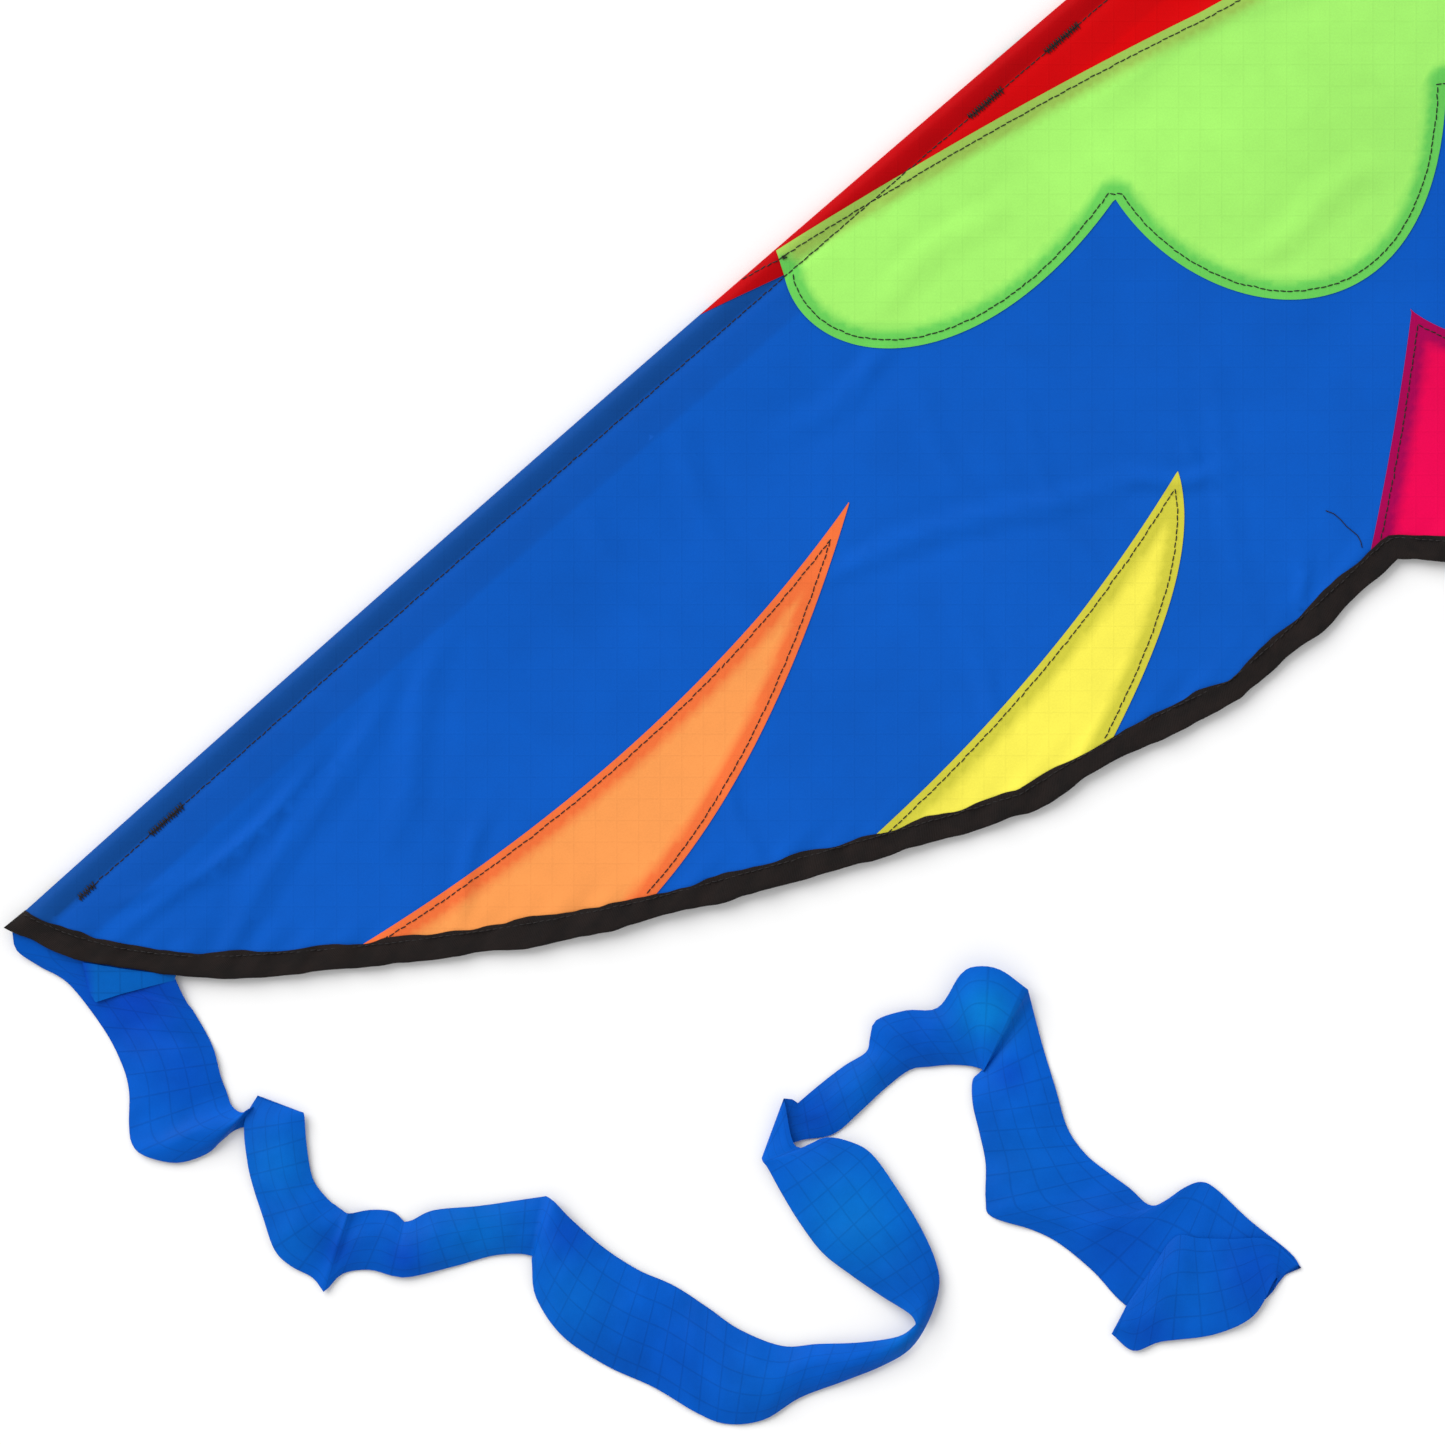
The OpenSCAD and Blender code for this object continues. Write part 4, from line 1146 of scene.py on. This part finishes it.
for word, side in SIDES:
    rows = ribbon_rows()
    mids = rows[:, rows.shape[1] // 2]
    s = along(mids)
    for i in range(len(rows)):
        for j in range(rows.shape[1]):
            u, y, z = rows[i, j]
            swell = 1.5 * noise.noise(Vector((u / 27, y / 27, side * 5 + s[i] / 300)))
            crumple = 0.6 * noise.noise(Vector((u / 9, y / 9, side * 3.0)))
            rows[i, j, 2] = max(0.45, z + swell + crumple)
    points, faces = strip(rows)
    flat = laid(s, np.linspace(0, RIBBON_WIDTH, rows.shape[1]))[:, ::-1]
    # the streamer's painted light and shade
    tint = painted_streamer_light_and_shade(points)
    tuck = np.array([[[a * (1 - t) + b * t for a, b in zip(top, low)] for t in (0, 0.33, 0.67, 1)]
                     for top, low in TUCK])
    tuck_points, tuck_faces = strip(tuck)
    points, faces = gathered([(points, faces), (tuck_points, [tuple(reversed(f)) for f in tuck_faces])])
    flat = np.concatenate([flat, tuck_points[:, :2]])
    # The tucked corner's first row is painted darker, as shade under the tape, and the rest painted lighter, as its
    # lit fold.
    tint = np.concatenate([tint, [(0.9, 0.62, 0.86)] * 4, [(3.0, 1.2, 0.95)] * (len(tuck_points) - 4)])
    obj = build(f"streamer_ribbon_{word}", points, faces, CLOTH["streamer"], side, flat, tint, solid=RIBBON_THICK)
    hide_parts("streamer_" + word)
    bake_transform(obj)

# ---------------------------------------------------------------- keel, spine pocket and nose

KEEL_FRONT, KEEL_BACK, TOW_Y, KEEL_BASE, KEEL_TIP = 330, -20, 155, 12.6, 177.6
EYELET_Z, EYELET_HOLE = KEEL_TIP - 26, 3.5
KEEL_ARCS = [
    bow([KEEL_FRONT, KEEL_BASE + 7], [TOW_Y + 60, KEEL_BASE + 102.3], [TOW_Y, KEEL_TIP]),
    bow([TOW_Y, KEEL_TIP], [TOW_Y - 50, KEEL_BASE + 82.5], [KEEL_BACK, KEEL_BASE + 7]),
]
KEEL_RIM = chain(*KEEL_ARCS)
KEEL_OUTLINE = np.concatenate([[[KEEL_FRONT, 11.5]], KEEL_RIM, [[KEEL_BACK, 11.5]]])
RIDGE_TOP = 11.2


def keel_bow(p):
    """Sideways billow of the keel, in millimetres."""
    y, z = p[:, 0], p[:, 1]
    up = np.clip((z - 14) / 90, 0, 1)
    calm = ramp(np.hypot(y - TOW_Y, z - EYELET_Z), 8, 40)
    return 2.4 * up * np.sin((y + 20) / 350 * math.pi * 3) * calm * ramp(distance(p, KEEL_RIM), 2, 40)


def keel_points(p, off=0.0):
    """Keel points (y, z) as (u, y, z)."""
    return np.column_stack([keel_bow(p) + off, p[:, 0], p[:, 1]])


def keel_net():
    """Points (y, z) and triangles of the keel, with a hole for the eyelet."""
    hole = np.array([[TOW_Y + EYELET_HOLE * math.cos(a), EYELET_Z + EYELET_HOLE * math.sin(a)]
                     for a in np.linspace(0, 2 * math.pi, 25)])
    loop = np.concatenate([KEEL_OUTLINE, KEEL_OUTLINE[:1]])
    paths = [spaced(loop, 3), hole, spaced(np.array([[KEEL_BACK, 14.0], [KEEL_FRONT, 14.0]]), 4)]
    points, edges = net_start(paths)
    for i, z in enumerate(np.arange(16, 176, 4.5)):
        for y in np.arange(-18 + (i % 2) * 2.5, 330, 5):
            q = np.array([[y, z]])
            clear = distance(q, loop)[0] > 2 and math.hypot(y - TOW_Y, z - EYELET_Z) > 6
            if inside(q, KEEL_OUTLINE)[0] and clear:
                points.append(Vector((y, z)))
    verts, tri = triangulated(points, edges)
    mid = verts[tri].mean(1)
    keep = inside(mid, KEEL_OUTLINE) & (np.hypot(mid[:, 0] - TOW_Y, mid[:, 1] - EYELET_Z) > 3.4)
    used, tri = np.unique(tri[keep], return_inverse=True)
    return verts[used], tri.reshape(-1, 3)


def bend_at_keel(obj):
    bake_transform(obj)


keel_flat, keel_tri = keel_net()
keel = build("keel_cloth", keel_points(keel_flat), keel_tri.tolist(), CLOTH["blue"], 1, keel_flat, solid=SAIL_THICK)
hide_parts("keel_panel")
bend_at_keel(keel)

RIM_TAPE = 10
# Across the keel's edge tape: how far in from its fold, as a share of its width, and how far off the keel's middle.
RIM_SECTION = ((1.0, 0.42), (0.75, 0.62), (0.4, 0.7), (0.1, 0.66), (0.01, 0.4), (-0.015, 0.0),
               (0.01, -0.4), (0.1, -0.66), (0.4, -0.7), (0.75, -0.62), (1.0, -0.42))


def rim_half(outer, inner):
    """One stretch of the keel's edge tape, between its free edge and its inner edge."""
    count = int(along(outer)[-1] / 3)
    outer, inner = (spaced(p, along(p)[-1] / count) for p in (outer, inner))
    return np.stack([keel_points(outer * (1 - w) + inner * w, off) for w, off in RIM_SECTION], axis=1)


front_inner, back_inner = (aside(arc, -RIM_TAPE) for arc in KEEL_ARCS)
tow_inner = crossing(front_inner, back_inner)
front_inner = np.concatenate([front_inner[: tow_inner[0] + 1], [tow_inner[2]]])
back_inner = np.concatenate([[tow_inner[2]], back_inner[tow_inner[1] + 1 :]])
rim_rows = np.concatenate([
    rim_half(KEEL_ARCS[0], front_inner[front_inner[:, 1] > 13.8]),
    rim_half(KEEL_ARCS[1], back_inner[back_inner[:, 1] > 13.8])[1:],
])
points, faces = strip(rim_rows)
around = along(rim_rows[20])
s = along(rim_rows[:, 5])
rim = build("keel_edge_tape", points, faces, TAPE, 1, laid(s, around), solid=RIM_THICK)
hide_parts("keel_tape")
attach(rim, "keel")


def keel_dashes(path, off, seed):
    """Stitches on one face of the keel, off millimetres to its side."""
    points, faces = dashes(spaced(path, 1.5), lambda p: np.zeros(len(p)), seed)
    p = np.array(points)
    sign = 1 if off > 0 else -1
    return np.column_stack([keel_bow(p[:, :2]) + off + sign * p[:, 2], p[:, 0], p[:, 1]]), faces


tape_line = [front_inner[front_inner[:, 1] > 15], back_inner[back_inner[:, 1] > 15]]
seam_line = np.array([[KEEL_FRONT - 3, 15.2], [KEEL_BACK + 3, 15.2]])
parts = []
for i, off in enumerate((0.5, -0.7)):
    for j, line in enumerate(tape_line):
        parts.append(keel_dashes(aside(line, 1.8), off, 300 + 10 * i + j))
    parts.append(keel_dashes(seam_line, 0.12 if off > 0 else -0.32, 330 + i))
points, faces = gathered(parts)
sewing = build("keel_stitching", points, faces, THREAD)
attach(sewing, "keel")

# The keel's turned-out seam allowance, sewn flat on the ridge.
rows = []
for y in np.arange(KEEL_BACK, KEEL_FRONT + 1, 5.0):
    wob = 0.12 * noise.noise(Vector((y / 15, 0, 0)))
    rows.append([(x + wob * 0.5, y, RIDGE_TOP + 0.12 - 0.02 * x * x + wob * 0.3)
                 for x in (-2.6, -1.6, -0.5, 0.5, 1.6, 2.6)])
points, faces = strip(np.array(rows))
flat = np.array([[(p[1], p[0]) for p in row] for row in rows]).reshape(-1, 2)
band = build("keel_seam_band", points, [tuple(reversed(f)) for f in faces], CLOTH["blue"], 1, flat,
              solid=LINING_THICK)
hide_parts("keel_seam")
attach(band, "spine")

# The pocket that holds the spine rod against the sail.
rows = []
for y in np.arange(-47, 464.5, 6.0):
    rows.append([(x, y, 5.7 - 0.5 * math.cos(x / 11.6 * math.pi / 2) + 0.15 * noise.noise(Vector((x / 8, y / 20, 2))))
                 for x in (-11.4, -8, -4.5, -1.5, 1.5, 4.5, 8, 11.4)])
rows = np.array(rows)
wide = np.clip((466 - rows[:, :, 1]) / 0.83 - 1, 0.4, 11.4)
rows[:, :, 0] = np.clip(rows[:, :, 0], -wide, wide)
points, faces = strip(rows)
flat = rows[:, :, [1, 0]].reshape(-1, 2)
pocket = build("spine_pocket_cloth", points, faces, CLOTH["blue"], 1, flat,
              solid=LINING_THICK)
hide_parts("spine_pocket")
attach(pocket, "spine")

# Black webbing folded over the nose.
WEBBING_Y, WEBBING_LONG, WEBBING_HALF = 438, 28, 11.6
ACROSS = np.linspace(-1, 1, 17)


def webbing_end(t):
    """y at a share of the webbing's length, and half its width there, which follows the sail's corner."""
    y = WEBBING_Y + WEBBING_LONG * t
    return y, min(WEBBING_HALF, (NOSE_Y + 0.6 - y) / EDGE_SLOPE + 1.6)


rows = []
for t, lift in ((0.0, 1.0), (0.15, 1.05), (0.4, 1.1), (0.7, 1.1), (0.9, 1.05), (1.0, 0.9)):
    y, half = webbing_end(t)
    rows.append([(x * half, y, PANEL_Z + float(ridge(np.array(x * half))) + lift) for x in ACROSS])
top_half = rows[-1][-1][0]
rows.append([(x * top_half, 466.4, 7.0 + 2.0 * (1 - x * x)) for x in ACROSS])
for t in (0.97, 0.75, 0.4, 0.0):
    y, half = webbing_end(t)
    rows.append([(x * half, y, 5.2) for x in ACROSS])
rows = np.array(rows)
points, faces = strip(rows)
s = along(rows[:, 8])
flat = laid(s, np.linspace(-WEBBING_HALF, WEBBING_HALF, 17))
nose = build("nose_webbing", points, faces, TAPE, 1, flat, solid=WEBBING_THICK)
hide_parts("nose_tape")
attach(nose, "spine")

# ---------------------------------------------------------------- finishes of the CAD parts that show

for name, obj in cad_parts.items():
    if name.startswith(("spar_cap", "hook", "spine_plug")):
        finish, place_name = VINYL, "vinyl"
    elif name.startswith(("spar_", "spine_rod", "spreader")):
        finish, place_name = ROD, "rod"
    elif name == "tow_eyelet":
        finish, place_name = BRASS, "eyelet_metal"
    else:
        continue
    obj.data.materials.clear()
    obj.data.materials.append(finish)
